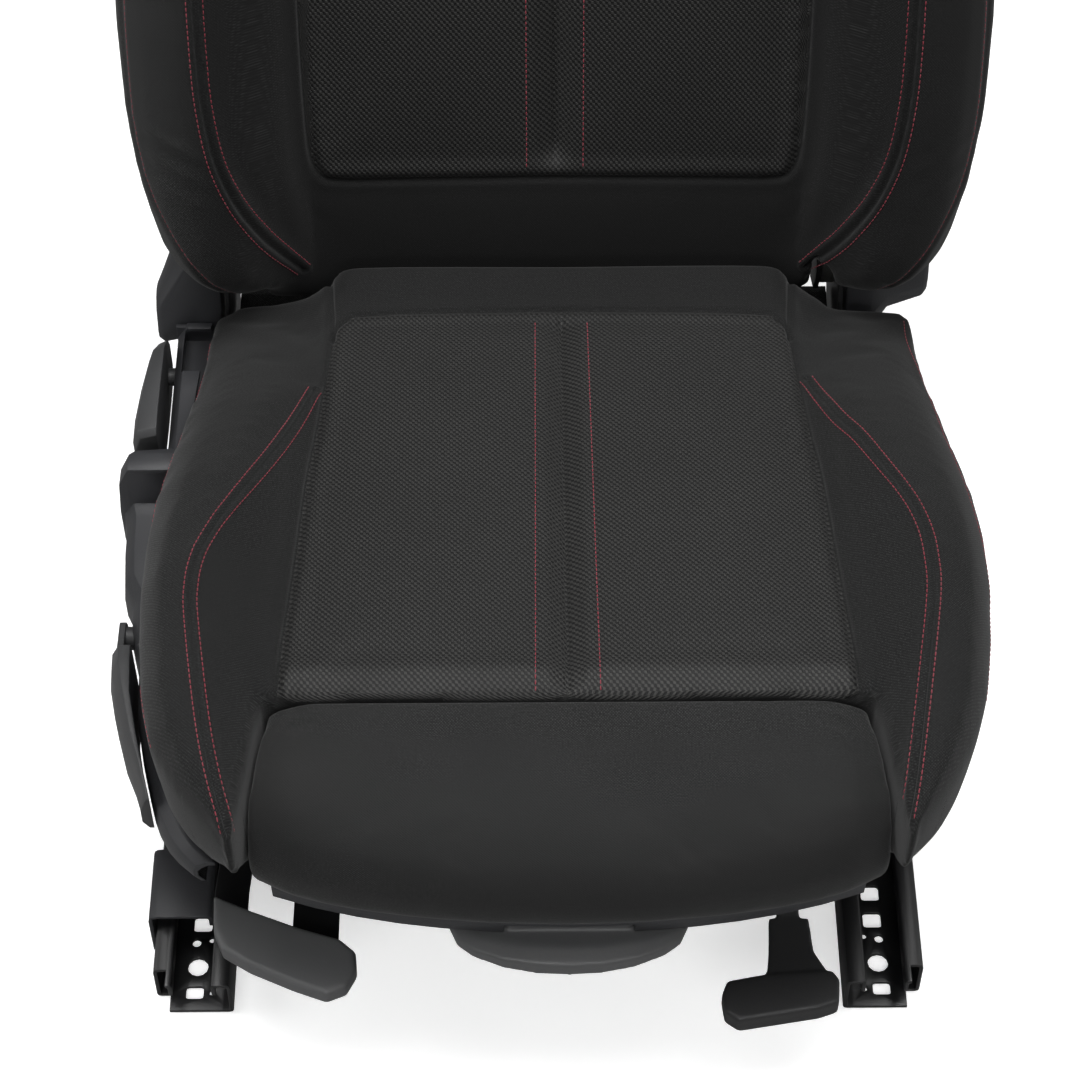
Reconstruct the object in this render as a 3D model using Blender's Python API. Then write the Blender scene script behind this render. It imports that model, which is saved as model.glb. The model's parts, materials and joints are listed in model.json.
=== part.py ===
"""A sport seat for a car, adjusted by hand: rails, height linkage, tilting pan, sliding thigh support,
reclining backrest and head restraint.

Metres, +Z up. The occupant faces -Y. The pieces are drawn from the floor plane under the rails, the
rails' mid-length and the centre plane of the upholstery. The finished seat is then moved so that its
origin is the DATUM, the middle of the left rail's mounting face.
"""
import math

import bmesh
import bpy
from mathutils import Matrix, Vector

# ---------------------------------------------------------------- driving dimensions
DATUM = (-0.240, 0.060, 0.0)  # on the left rail's underside; the finished seat's origin
RAIL_OFFSET = -0.018  # the rails' centre plane sits outboard of the upholstery's
RAIL_SPACING = 0.444
RAIL_LENGTH = 0.472
RAIL_WIDTH = 0.0505
RAIL_HEIGHT = 0.034
SHEET = 0.0025  # rail sheet metal
UPPER_RAIL_FRONT = -0.125
UPPER_RAIL_LENGTH = 0.360
UPPER_RAIL_TOP = 0.044

FRONT_PIVOT_Y = -0.105
REAR_PIVOT_Y = 0.150
PIVOT_Z = 0.062
LINK_LENGTH = 0.080
LINK_ANGLE = math.radians(15)  # above the horizontal, seat fully down
TORSION_TUBE_R = 0.0125
PIN_R = 0.005
PLATE = 0.003
LINK_PLATE = 0.004
RUNNING_GAP = 0.0005

# Distances from a rail's centre plane to the middle of each layer, towards the seat's inside.
EAR_LAYER = 0.0
LINK_LAYER = 0.0055
SIDE_MEMBER_LAYER = 0.0105
PAN_LAYER = 0.0150
RECLINER_LAYER = 0.0180
BACK_MEMBER_LAYER = 0.0255

RELEASE_BAR = (-0.128, 0.056)  # (y, z) of the slide release bar
CROSS_TUBE = (-0.180, 0.115)
PAN_PIVOT = (0.180, 0.140)
HEIGHT_PIVOT = (-0.030, 0.128)
RECLINE_LEVER_PIVOT = (0.178, 0.150)
HANDLE_PIVOT = (-0.262, 0.164)

RECLINER = (0.262, 0.205)  # (y, z) of the recliner axis
RECLINE = math.radians(25)  # backrest from the vertical, at rest
BACK_HEIGHT = 0.640
POST_SPACING = 0.140
POST_R = 0.006
POST_Y = -0.0045  # in the backrest's own frame
BACK_SHIFT = -0.0035  # the backrest's upholstery sits a little outboard of the cushion's

CUSHION_BOTTOM = 0.152
THIGH_REAR = -0.1770  # rear face of the thigh pad
LEFT, RIGHT = -1, 1
SIDES = {LEFT: "left", RIGHT: "right"}

# Slot: base colour, roughness, metallic.
FINISHES = {
    "side_fabric": ((0.017, 0.018, 0.017), 0.95, 0.0),
    "trim_plastic": ((0.045, 0.046, 0.049), 0.50, 0.0),
    "lever_plastic": ((0.040, 0.041, 0.041), 0.48, 0.0),
    "black_steel": ((0.008, 0.008, 0.009), 0.35, 0.6),
    "zinc_steel": ((0.36, 0.36, 0.35), 0.38, 1.0),
    "spring_wire": ((0.12, 0.12, 0.12), 0.40, 1.0),
    "shell_plastic": ((0.020, 0.020, 0.021), 0.60, 0.0),
    "chrome": ((0.62, 0.62, 0.63), 0.12, 1.0),
}


# ---------------------------------------------------------------- tools
def clear_scene():
    for item in list(bpy.data.objects):
        bpy.data.objects.remove(item)


def make_materials():
    for slot, (colour, roughness, metallic) in FINISHES.items():
        material = bpy.data.materials.new(slot)
        material.use_nodes = True
        shader = material.node_tree.nodes["Principled BSDF"]
        shader.inputs["Base Color"].default_value = (*colour, 1.0)
        shader.inputs["Roughness"].default_value = roughness
        shader.inputs["Metallic"].default_value = metallic


def attach(obj, parent):
    """Parents an object to an empty on a joint's axis, and leaves it where it is drawn."""
    obj.parent = parent
    if parent:
        obj.matrix_parent_inverse = Matrix.Translation(parent["drawn_at"]).inverted()


def solid(name, bm, slot, parent=None, sharp_deg=35):
    """Turns a bmesh into a named object, with its faces pointing out."""
    bmesh.ops.recalc_face_normals(bm, faces=bm.faces)
    if bm.calc_volume(signed=True) < 0:
        bmesh.ops.reverse_faces(bm, faces=bm.faces)
    mesh = bpy.data.meshes.new(name)
    bm.to_mesh(mesh)
    bm.free()
    mesh.shade_smooth()
    mesh.set_sharp_from_angle(angle=math.radians(sharp_deg))
    mesh.materials.append(bpy.data.materials[slot])
    obj = bpy.data.objects.new(name, mesh)
    bpy.context.scene.collection.objects.link(obj)
    attach(obj, parent)
    return obj


def boolean(target, other, operation, solver="EXACT"):
    """Cuts or joins with another object, which stays as a hidden helper."""
    other.hide_render = True
    other.display_type = "WIRE"
    modifier = target.modifiers.new(operation.lower(), "BOOLEAN")
    modifier.operation = operation
    modifier.solver = solver
    modifier.object = other


def cut(target, cutter, solver="EXACT"):
    boolean(target, cutter, "DIFFERENCE", solver)


def join(target, other):
    boolean(target, other, "UNION")


def rounded(points, radius, steps=3):
    """The closed outline with each corner replaced by an arc. radius is one number, or one per point."""
    radii = [radius] * len(points) if isinstance(radius, (int, float)) else radius
    result = []
    for i, (point, r) in enumerate(zip(points, radii)):
        corner = Vector(point)
        to_last = Vector(points[i - 1]) - corner
        to_next = Vector(points[(i + 1) % len(points)]) - corner
        half = to_last.angle(to_next) / 2
        if r <= 0 or half > math.radians(88):
            result.append(tuple(corner))
            continue
        back = min(r / math.tan(half), 0.49 * to_last.length, 0.49 * to_next.length)
        start = corner + to_last.normalized() * back
        end = corner + to_next.normalized() * back
        for k in range(steps + 1):
            t = k / steps
            bend = start * (1 - t) ** 2 + corner * (2 * t * (1 - t)) + end * t**2
            result.append(tuple(bend))
    return result


def circle(centre, radius, sides=20):
    return [
        (
            centre[0] + radius * math.cos(2 * math.pi * k / sides),
            centre[1] + radius * math.sin(2 * math.pi * k / sides),
        )
        for k in range(sides)
    ]


def slot_hole(centre, width, height, radius=0.002):
    a, b = width / 2, height / 2
    x, y = centre
    corners = [(x - a, y - b), (x + a, y - b), (x + a, y + b), (x - a, y + b)]
    return rounded(corners, radius, 2)


def plate_mesh(outline, holes, thickness, axis, middle):
    """A flat plate with holes. Its outline is (y, z) for axis X, (x, z) for Y and (x, y) for Z."""
    bm = bmesh.new()
    edges = []
    for loop in [outline, *holes]:
        verts = [bm.verts.new((u, v, -thickness / 2)) for u, v in loop]
        for i, vert in enumerate(verts):
            edges.append(bm.edges.new((vert, verts[(i + 1) % len(verts)])))
    bmesh.ops.triangle_fill(bm, use_beauty=True, edges=edges)
    grown = bmesh.ops.extrude_face_region(bm, geom=bm.faces[:])
    top = [item for item in grown["geom"] if isinstance(item, bmesh.types.BMVert)]
    bmesh.ops.translate(bm, vec=(0, 0, thickness), verts=top)
    turn = {
        "X": Matrix(((0, 0, 1), (1, 0, 0), (0, 1, 0))),
        "Y": Matrix(((1, 0, 0), (0, 0, -1), (0, 1, 0))),
        "Z": Matrix.Identity(3),
    }[axis]
    place = {"X": (middle, 0, 0), "Y": (0, middle, 0), "Z": (0, 0, middle)}[axis]
    bmesh.ops.transform(bm, matrix=Matrix.Translation(place) @ turn.to_4x4(), verts=bm.verts)
    return bm


def plate(name, outline, thickness, axis, middle, slot, holes=(), parent=None):
    return solid(name, plate_mesh(outline, holes, thickness, axis, middle), slot, parent)


def box(name, low, high, slot, parent=None, bevel=0.0):
    bm = bmesh.new()
    bmesh.ops.create_cube(bm, size=1)
    size = Vector(high) - Vector(low)
    bmesh.ops.scale(bm, vec=size, verts=bm.verts)
    bmesh.ops.translate(bm, vec=(Vector(low) + Vector(high)) / 2, verts=bm.verts)
    if bevel:
        bmesh.ops.bevel(
            bm, geom=bm.edges[:], offset=bevel, segments=2, profile=0.5, affect="EDGES"
        )
    return solid(name, bm, slot, parent)


def loft(name, rings, slot, parent=None, sharp_deg=35):
    """Skins closed rings of equal length, one after the other, and caps both ends."""
    bm = bmesh.new()
    rows = [[bm.verts.new(point) for point in ring] for ring in rings]
    count = len(rows[0])
    for first, second in zip(rows, rows[1:]):
        for i in range(count):
            j = (i + 1) % count
            bm.faces.new((first[i], first[j], second[j], second[i]))
    caps = [bm.faces.new(rows[0]), bm.faces.new(rows[-1])]
    bmesh.ops.triangulate(bm, faces=caps)
    return solid(name, bm, slot, parent, sharp_deg)


def rod(name, start, end, radius, slot, parent=None, sides=16, bore=0.0):
    """A round bar from start to end, or a tube when it has a bore."""
    bm = bmesh.new()
    start, end = Vector(start), Vector(end)
    turn = (end - start).to_track_quat("Z", "Y").to_matrix().to_4x4()
    place = Matrix.Translation(start) @ turn
    length = (end - start).length
    if not bore:
        bmesh.ops.create_cone(
            bm, cap_ends=True, segments=sides, radius1=radius, radius2=radius, depth=length
        )
        bmesh.ops.translate(bm, vec=(0, 0, length / 2), verts=bm.verts)
        bmesh.ops.transform(bm, matrix=place, verts=bm.verts)
        return solid(name, bm, slot, parent)
    loops = []
    for r, z in ((radius, 0), (radius, length), (bore, length), (bore, 0)):
        loops.append([bm.verts.new((x, y, z)) for x, y in circle((0, 0), r, sides)])
    for first, second in zip(loops, loops[1:] + loops[:1]):
        for i in range(sides):
            j = (i + 1) % sides
            bm.faces.new((first[i], first[j], second[j], second[i]))
    bmesh.ops.transform(bm, matrix=place, verts=bm.verts)
    return solid(name, bm, slot, parent)


def wire(name, points, radius, slot, parent=None, resolution=1):
    """A bent round wire or tube, as a bevelled curve with filled caps."""
    curve = bpy.data.curves.new(name, "CURVE")
    curve.dimensions = "3D"
    curve.bevel_depth = radius
    curve.bevel_resolution = resolution
    curve.use_fill_caps = True
    spline = curve.splines.new("POLY")
    spline.points.add(len(points) - 1)
    for target, point in zip(spline.points, points):
        target.co = (*point, 1)
    curve.materials.append(bpy.data.materials[slot])
    obj = bpy.data.objects.new(name, curve)
    bpy.context.scene.collection.objects.link(obj)
    attach(obj, parent)
    return obj


def between(table, t):
    """Reads a table of (t, value) rows, joined by smooth steps of straight lines."""
    if t <= table[0][0]:
        return table[0][1]
    for (t0, v0), (t1, v1) in zip(table, table[1:]):
        if t <= t1:
            return v0 + (v1 - v0) * (t - t0) / (t1 - t0)
    return table[-1][1]


def rail_x(side):
    return RAIL_OFFSET + side * RAIL_SPACING / 2


def layer_x(side, layer):
    """x of a layer: layers count from the rail's centre plane towards the inside."""
    return rail_x(side) - side * layer


def link_end(pivot_y):
    """(y, z) of a link's upper pivot, seat fully down."""
    return (
        pivot_y + LINK_LENGTH * math.cos(LINK_ANGLE),
        PIVOT_Z + LINK_LENGTH * math.sin(LINK_ANGLE),
    )


# ---------------------------------------------------------------- rails
def lower_rail(side):
    half, height, lip = RAIL_WIDTH / 2, RAIL_HEIGHT, 0.0125
    right_half = [
        (half, 0, 0.003),
        (half, height, 0.0045),
        (lip, height, 0.002),
        (lip, 0.022, 0),
        (lip + SHEET, 0.022, 0),
        (lip + SHEET, height - SHEET, 0.001),
        (half - SHEET, height - SHEET, 0.002),
        (half - SHEET, SHEET, 0.001),
    ]
    left_half = [(-x, z, r) for x, z, r in reversed(right_half)]
    profile = right_half + left_half
    points = rounded([(x, z) for x, z, _ in profile], [r for _, _, r in profile], 2)
    middle = rail_x(side)
    front = -RAIL_LENGTH / 2
    outline = [(middle + x, z) for x, z in points]
    rail = plate(f"lower_rail_{SIDES[side]}", outline, RAIL_LENGTH, "Y", 0, "black_steel")
    # From the front end: distance along, offset inboard, width, depth; round holes have no depth.
    openings = [
        (0.013, -0.001, 0.0115, 0.0090),
        (0.013, 0.0105, 0.0042, 0.0042),
        (0.032, 0.0, 0.0135, None),
        (0.050, -0.002, 0.0060, None),
        (0.052, 0.0080, 0.0042, None),
        (0.064, 0.0015, 0.0120, 0.0110),
        (0.0845, 0.0015, 0.0120, 0.0110),
        (RAIL_LENGTH - 0.032, 0.0, 0.0135, None),
        (RAIL_LENGTH - 0.013, 0.0, 0.0115, 0.0090),
    ]
    for number, (along, inboard, width, depth) in enumerate(openings):
        centre = (middle - side * inboard, front + along)
        loop = slot_hole(centre, width, depth) if depth else circle(centre, width / 2, 12)
        cut(rail, plate(f"cut_rail_{side}_{number}", loop, 0.010, "Z", 0, "black_steel"))
    # The outer curl stops short of the front end, and the floor is notched under it.
    outer = sorted((middle + side * 0.0165, middle + side * 0.030))
    notch = box(
        f"cut_notch_{side}",
        (outer[0], front - 0.001, -0.001),
        (outer[1], front + 0.012, height + 0.001),
        "black_steel",
    )
    cut(rail, notch)
    return rail


def upper_rail(side, carriage):
    middle = rail_x(side)
    wall, foot, top = 0.0105, 0.0210, UPPER_RAIL_TOP
    right_half = [
        (wall - SHEET, top - SHEET),
        (wall - SHEET, 0.0100),
        (foot, 0.0100),
        (foot, 0.0280),
        (foot - SHEET, 0.0280),
        (foot - SHEET, 0.0100 + SHEET),
        (wall, 0.0100 + SHEET),
        (wall, top),
    ]
    outline = right_half + [(-x, z) for x, z in reversed(right_half)]
    outline = [(middle + x, z) for x, z in outline]
    centre_y = UPPER_RAIL_FRONT + UPPER_RAIL_LENGTH / 2
    name = f"upper_rail_{SIDES[side]}"
    rail = plate(name, outline, UPPER_RAIL_LENGTH, "Y", centre_y, "black_steel", parent=carriage)
    low = top - 0.002
    ears = {
        "front": ([(-0.137, low), (-0.090, low), (-0.090, 0.076), (-0.117, 0.076), (-0.137, 0.066)],
                  [circle((FRONT_PIVOT_Y, PIVOT_Z), PIN_R + RUNNING_GAP, 14),
                   circle(RELEASE_BAR, PIN_R + RUNNING_GAP, 14)]),
        "rear": ([(0.130, low), (0.172, low), (0.166, 0.076), (0.136, 0.076)],
                 [circle((REAR_PIVOT_Y, PIVOT_Z), PIN_R + RUNNING_GAP, 14)]),
    }
    for end, (corners, holes) in ears.items():
        ear = plate(f"ear_{end}_{side}", rounded(corners, [0, 0, 0.012, 0.008, 0.008][: len(corners)]),
                    LINK_PLATE, "X", middle, "black_steel", holes)
        join(rail, ear)
    return rail


def ball_cage(side, parent):
    """The strip that keeps the balls apart between the lower rail's floor and the upper rail's feet."""
    middle = rail_x(side)
    cage = box(
        f"ball_cage_{SIDES[side]}",
        (middle - 0.0185, -0.070, 0.0054),
        (middle + 0.0185, 0.170, 0.0070),
        "trim_plastic",
        parent,
    )
    for number, y in enumerate((-0.055, 0.155)):
        for hand in (-1, 1):
            bm = bmesh.new()
            bmesh.ops.create_icosphere(bm, subdivisions=1, radius=0.0034)
            bmesh.ops.translate(bm, vec=(middle + hand * 0.0145, y, 0.0062), verts=bm.verts)
            join(cage, solid(f"ball_{side}_{number}_{hand}", bm, "zinc_steel"))
    return cage


def rail_cover(carriage):
    """The plastic nose over the outboard rail, with a tongue that plugs into the upper rail."""
    middle = rail_x(LEFT)
    outer, inner, top, wall = middle - 0.0290, middle + 0.0125, 0.0490, 0.0025
    profile = [
        (outer, 0.008), (outer, top), (inner, top), (inner, 0.038),
        (inner - wall, 0.038), (inner - wall, top - wall),
        (outer + wall, top - wall), (outer + wall, 0.008),
    ]
    corners = rounded(profile, [0, 0.006, 0.004, 0, 0, 0.002, 0.003, 0], 3)
    cover = plate("rail_cover_left", corners, 0.051, "Y", -0.1685, "trim_plastic", parent=carriage)
    rib = box("cover_rib", (outer + 0.001, -0.148, 0.0362), (inner - 0.001, -0.145, top - 0.001),
              "trim_plastic")
    tongue = box("cover_tongue", (middle - 0.0074, -0.146, 0.0365), (middle + 0.0074, -0.105, 0.0410),
                 "trim_plastic")
    join(cover, rib)
    join(cover, tongue)
    return cover


# ---------------------------------------------------------------- height linkage
def link(name, side, pivot_y, parent):
    """A dog-bone plate from the ear's pin to the torsion tube."""
    lower, upper = Vector((pivot_y, PIVOT_Z)), Vector(link_end(pivot_y))
    along = (upper - lower).normalized()
    across = Vector((-along.y, along.x))
    low_r, high_r, waist = 0.0115, 0.0200, 0.0085
    outline = []
    for k in range(9):  # round the lower end, from its upper side to its lower side
        a = math.pi / 2 + math.pi * k / 8
        outline.append(lower + low_r * (along * math.cos(a) + across * math.sin(a)))
    outline.append(lower + along * 0.035 - across * waist)
    for k in range(11):
        a = -math.pi * 0.62 + 1.24 * math.pi * k / 10
        outline.append(upper + high_r * (along * math.cos(a) + across * math.sin(a)))
    outline.append(lower + along * 0.035 + across * waist)
    holes = [
        circle(lower, PIN_R + RUNNING_GAP, 14),
        circle(upper, TORSION_TUBE_R + RUNNING_GAP, 20),
    ]
    points = [tuple(point) for point in outline]
    return plate(name, points, LINK_PLATE, "X", layer_x(side, LINK_LAYER), "zinc_steel", holes, parent)


def link_pin(name, side, pivot_y, parent):
    """Shouldered pin through the ear and the link, with its head outboard."""
    x0 = layer_x(side, -0.0026)
    x1 = layer_x(side, 0.0082)
    ends = (x0, pivot_y, PIVOT_Z), (x1, pivot_y, PIVOT_Z)
    pin = rod(name, *ends, PIN_R - 0.0001, "zinc_steel", parent, 14)
    head = rod(
        f"head_{name}",
        (layer_x(side, -0.0056), pivot_y, PIVOT_Z),
        (layer_x(side, -0.0023), pivot_y, PIVOT_Z),
        0.0085, "zinc_steel", sides=14,
    )
    join(pin, head)
    return pin


def torsion_tube(name, pivot_y, parent):
    y, z = link_end(pivot_y)
    reach = LINK_LAYER - LINK_PLATE / 2 - 0.0010
    start, end = (layer_x(LEFT, reach), y, z), (layer_x(RIGHT, reach), y, z)
    return rod(name, start, end, TORSION_TUBE_R, "zinc_steel", parent, 20, bore=0.0100)


# ---------------------------------------------------------------- seat frame
def side_member(side, frame):
    ry, rz = RECLINER
    outline = [
        (-0.200, 0.100), (-0.200, 0.134), (-0.160, 0.142), (0.160, 0.143), (0.202, 0.160),
        (0.2215, 0.222), (ry - 0.018, rz + 0.046), (ry + 0.018, rz + 0.046), (0.308, 0.222),
        (0.300, 0.175), (0.262, 0.120), (0.262, 0.070), (0.205, 0.064), (0.140, 0.088),
        (0.020, 0.088), (-0.012, 0.064), (-0.050, 0.064), (-0.090, 0.090), (-0.160, 0.095),
    ]
    radii = [0.01, 0.01, 0, 0, 0.02, 0.02, 0.02, 0.02, 0.02, 0.02, 0.02, 0.015, 0.015, 0.02,
             0.02, 0.015, 0.015, 0.02, 0]
    tube_r = TORSION_TUBE_R + RUNNING_GAP
    holes = [
        circle(link_end(FRONT_PIVOT_Y), tube_r, 20),
        circle(link_end(REAR_PIVOT_Y), tube_r, 20),
        circle(RECLINER, 0.0090, 16),
        circle(PAN_PIVOT, 0.0055, 14),
        circle(CROSS_TUBE, 0.0105, 16),
        slot_hole((0.060, 0.115), 0.060, 0.022, 0.008),
        slot_hole((-0.110, 0.118), 0.050, 0.020, 0.008),
    ]
    if side == LEFT:
        holes.append(circle(HEIGHT_PIVOT, 0.0066, 14))
    name = f"side_member_{SIDES[side]}"
    x = layer_x(side, SIDE_MEMBER_LAYER)
    member = plate(name, rounded(outline, radii, 2), PLATE, "X", x, "black_steel", holes, frame)
    # The top edge is folded outboard into a flange, clear of the links.
    inner = x - side * PLATE / 2
    low = (min(inner, inner + side * 0.0125), -0.150, 0.1405)
    high = (max(inner, inner + side * 0.0125), 0.150, 0.1430)
    join(member, box(f"flange_{side}", low, high, "black_steel"))
    return member


def cross_members(frame):
    y, z = CROSS_TUBE
    reach = SIDE_MEMBER_LAYER - PLATE / 2 - 0.001
    rod("front_cross_tube", (layer_x(LEFT, reach), y, z), (layer_x(RIGHT, reach), y, z), 0.0100,
        "black_steel", frame, 16, bore=0.0080)
    y, z = PAN_PIVOT
    rod("pan_pivot_rod", (layer_x(LEFT, 0.0080), y, z), (layer_x(RIGHT, 0.0080), y, z), PIN_R,
        "zinc_steel", frame, 14)


def height_pump(frame):
    """The ratchet and brake drum that the height lever pumps; its shaft runs in the side member."""
    y, z = HEIGHT_PIVOT
    drum = rod("height_pump", (layer_x(LEFT, -0.0170), y, z), (layer_x(LEFT, -0.0030), y, z), 0.0260,
               "zinc_steel", frame, 20)
    join(drum, rod("pump_shaft", (layer_x(LEFT, -0.0400), y, z), (layer_x(LEFT, 0.0125), y, z), 0.0060,
                   "zinc_steel", sides=14))
    return drum


def side_valance(frame):
    """Outboard moulding: a thin skin with a top shelf, carrying the levers and their flared housing."""
    # (y, skin's x at its widest, top z, bottom z)
    stations = [
        (0.205, -0.2665, 0.176, 0.112), (0.180, -0.2668, 0.178, 0.102), (0.140, -0.2668, 0.180, 0.094),
        (0.0885, -0.2668, 0.180, 0.088), (0.085, -0.2930, 0.182, 0.086), (0.081, -0.2968, 0.183, 0.086),
        (0.0675, -0.2970, 0.183, 0.086), (0.065, -0.2955, 0.151, 0.086), (0.055, -0.2935, 0.150, 0.086),
        (0.030, -0.2930, 0.149, 0.086), (0.008, -0.2915, 0.148, 0.086), (-0.004, -0.2860, 0.147, 0.086),
        (-0.012, -0.2845, 0.147, 0.086), (-0.030, -0.2835, 0.148, 0.087), (-0.046, -0.2795, 0.152, 0.088),
        (-0.058, -0.2742, 0.174, 0.090), (-0.110, -0.2712, 0.174, 0.098), (-0.140, -0.2654, 0.173, 0.105),
        (-0.160, -0.2604, 0.172, 0.112), (-0.176, -0.2562, 0.171, 0.120), (-0.190, -0.2515, 0.170, 0.128),
        (-0.206, -0.2440, 0.169, 0.137), (-0.216, -0.2370, 0.168, 0.142), (-0.226, -0.2275, 0.166, 0.146),
    ]
    wall = 0.003
    rings = []
    for y, wide, top, bottom in stations:
        height = top - bottom
        shelf = max(wide + 0.014, -between(HALF_WIDTH, y) - 0.0035)
        outer = [
            (wide + 0.004, bottom), (wide, bottom + 0.25 * height), (wide, bottom + 0.55 * height),
            (wide + 0.002, bottom + 0.84 * height), (wide + 0.009, top), (shelf, top),
        ]
        inner = [
            (shelf, top - wall), (wide + 0.0095, top - wall),
            (wide + 0.002 + wall, bottom + 0.82 * height - wall), (wide + wall, bottom + 0.54 * height),
            (wide + wall, bottom + 0.26 * height), (wide + 0.004 + wall, bottom),
        ]
        rings.append([(x, y, z) for x, z in outer + inner])
    valance = loft("side_valance_left", rings, "trim_plastic", frame, 50)
    window = box("cut_window", (-0.2590, 0.158, 0.160), (-0.2300, 0.1990, 0.190), "trim_plastic")
    cut(valance, window)
    join(valance, box("window_floor", (-0.2655, 0.1515, 0.158), (-0.2405, 0.2045, 0.161), "trim_plastic"))
    join(valance, box("window_back", (-0.2655, 0.2015, 0.159), (-0.2405, 0.2045, 0.175), "trim_plastic"))
    for number, ((y, z), radius) in enumerate(((HEIGHT_PIVOT, 0.0085), (RECLINE_LEVER_PIVOT, 0.0070))):
        hub = rod(f"cut_hub_{number}", (-0.310, y, z), (-0.245, y, z), radius, "trim_plastic", sides=16)
        cut(valance, hub)
    return valance


def inner_trim(frame):
    """The plain moulding along the inboard side."""
    x, wall = layer_x(RIGHT, -0.034), 0.003
    outline = [(-0.170, 0.120), (-0.150, 0.166), (0.175, 0.172), (0.205, 0.150), (0.180, 0.095),
               (0.020, 0.085), (-0.120, 0.092)]
    skin = plate("inner_side_trim", rounded(outline, 0.018, 3), wall, "X", x, "trim_plastic", parent=frame)
    for number, y in enumerate((-0.100, 0.120)):
        ends = (x - 0.0424, y, 0.150), (x, y, 0.150)
        join(skin, rod(f"trim_peg_{number}", *ends, 0.004, "trim_plastic", sides=10))
    return skin


def recliner_cover(side, frame):
    """The cap over the recliner, outside the side member, with a lobe that reaches down to the valance."""
    ry, rz = RECLINER
    inner = layer_x(side, 0.0062)
    outline = [
        (0.2065, 0.176), (0.2085, 0.160), (0.224, 0.151), (0.252, 0.154), (0.284, 0.164), (0.302, 0.184),
        (0.3095, 0.205), (0.304, 0.229), (0.286, 0.2455), (0.262, 0.2520), (0.240, 0.2465), (0.223, 0.231),
        (0.2170, 0.213), (0.2130, 0.195),
    ]
    centre = Vector((0.250, 0.196))
    # (distance from the inner face, scale, middle of that ring)
    shapes = {
        LEFT: ((0.0, 1.0, centre), (0.0140, 1.0, centre), (0.0185, 0.92, Vector((0.2475, 0.191))),
               (0.0415, 0.45, Vector((0.2260, 0.1700))), (0.0460, 0.33, Vector((0.2235, 0.1680)))),
        RIGHT: ((0.0, 1.0, centre), (0.018, 0.97, centre), (0.030, 0.84, Vector((0.255, 0.202))),
                (0.054, 0.74, Vector((0.257, 0.203))), (0.058, 0.64, Vector((0.257, 0.203)))),
    }
    rings = []
    for depth, scale, middle in shapes[side]:
        ring = [middle + (Vector(point) - centre) * scale for point in outline]
        rings.append([(inner + side * depth, *point) for point in ring])
    cover = loft(f"recliner_cover_{SIDES[side]}", rings, "trim_plastic", frame, 30)
    hollow = rod(f"cut_recliner_{side}", (inner - side * 0.001, ry, rz), (inner + side * 0.012, ry, rz),
                 0.040, "trim_plastic", sides=20)
    cut(cover, hollow)
    return cover


def recliner_disc(side, frame):
    ry, rz = RECLINER
    x = layer_x(side, RECLINER_LAYER)
    disc = rod(f"recliner_disc_{SIDES[side]}", (x - 0.0050, ry, rz), (x + 0.0050, ry, rz), 0.0360,
               "zinc_steel", frame, 24, bore=0.0085)
    return disc


# ---------------------------------------------------------------- seat pan and cushion
def seat_pan(pan):
    left, right = layer_x(LEFT, PAN_LAYER), layer_x(RIGHT, PAN_LAYER)
    outline = [
        (left - 0.0015, -0.192), (right + 0.0015, -0.192), (right + 0.0015, -0.030),
        (right - 0.030, -0.030), (right - 0.055, -0.060), (left + 0.055, -0.060),
        (left + 0.030, -0.030), (left - 0.0015, -0.030),
    ]
    holes = [slot_hole((x, -0.120), 0.060, 0.050, 0.012) for x in (-0.120, -0.018, 0.084)]
    base = plate("seat_pan", rounded(outline, [0.008, 0.008, 0, 0, 0.01, 0.01, 0, 0]), 0.0025, "Z", 0.1445,
                 "black_steel", holes, pan)
    for side in (LEFT, RIGHT):
        arm = [(-0.192, 0.1270), (-0.192, 0.1450), (0.150, 0.1450), (0.176, 0.1505), (0.192, 0.1490),
               (0.194, 0.1310), (0.172, 0.1270)]
        hole = [circle(PAN_PIVOT, 0.0055, 14)]
        x = layer_x(side, PAN_LAYER)
        outline = rounded(arm, [0, 0, 0.01, 0.008, 0.008, 0.01, 0.01])
        join(base, plate(f"pan_arm_{side}", outline, PLATE, "X", x, "black_steel", hole))
    join(base, box("pan_rear_bar", (left - 0.001, 0.118, 0.1340), (right + 0.001, 0.128, 0.1440),
                   "black_steel"))
    return base


def suspension_spring(number, x, pan):
    """One zigzag wire from the pan's plate to its rear bar, under the cushion."""
    z, swing, count = 0.1483, 0.016, 7
    start, end = -0.052, 0.118
    points = [(x, start, z)]
    for k in range(1, count + 1):
        y = start + (end - start) * k / (count + 1)
        points.append((x + swing * (1 if k % 2 else -1), y - 0.005, z))
        points.append((x + swing * (1 if k % 2 else -1), y + 0.005, z))
    points.append((x, end, z))
    return wire(f"seat_spring_{number}", points, 0.0018, "spring_wire", pan, 0)


def insert_height(y):
    """Height of the cushion's centre panel: it climbs to the front, and swells again at the backrest."""
    swell = max(0.0, y - 0.165)
    return 0.215 + (0.220 - y) * 0.14 + 0.36 * swell - 2.5 * swell**2


HALF_WIDTH = [
    (-0.292, 0.188), (-0.286, 0.1945), (-0.278, 0.203), (-0.270, 0.211), (-0.254, 0.2235),
    (-0.238, 0.2345), (-0.226, 0.2415), (-0.214, 0.2470), (-0.190, 0.2533), (-0.167, 0.2563),
    (-0.123, 0.2600), (-0.094, 0.2615), (-0.067, 0.2615), (-0.014, 0.2585), (0.042, 0.2520),
    (0.100, 0.2450), (0.140, 0.2435), (0.161, 0.2425), (0.190, 0.2400), (0.218, 0.2340),
]
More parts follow.
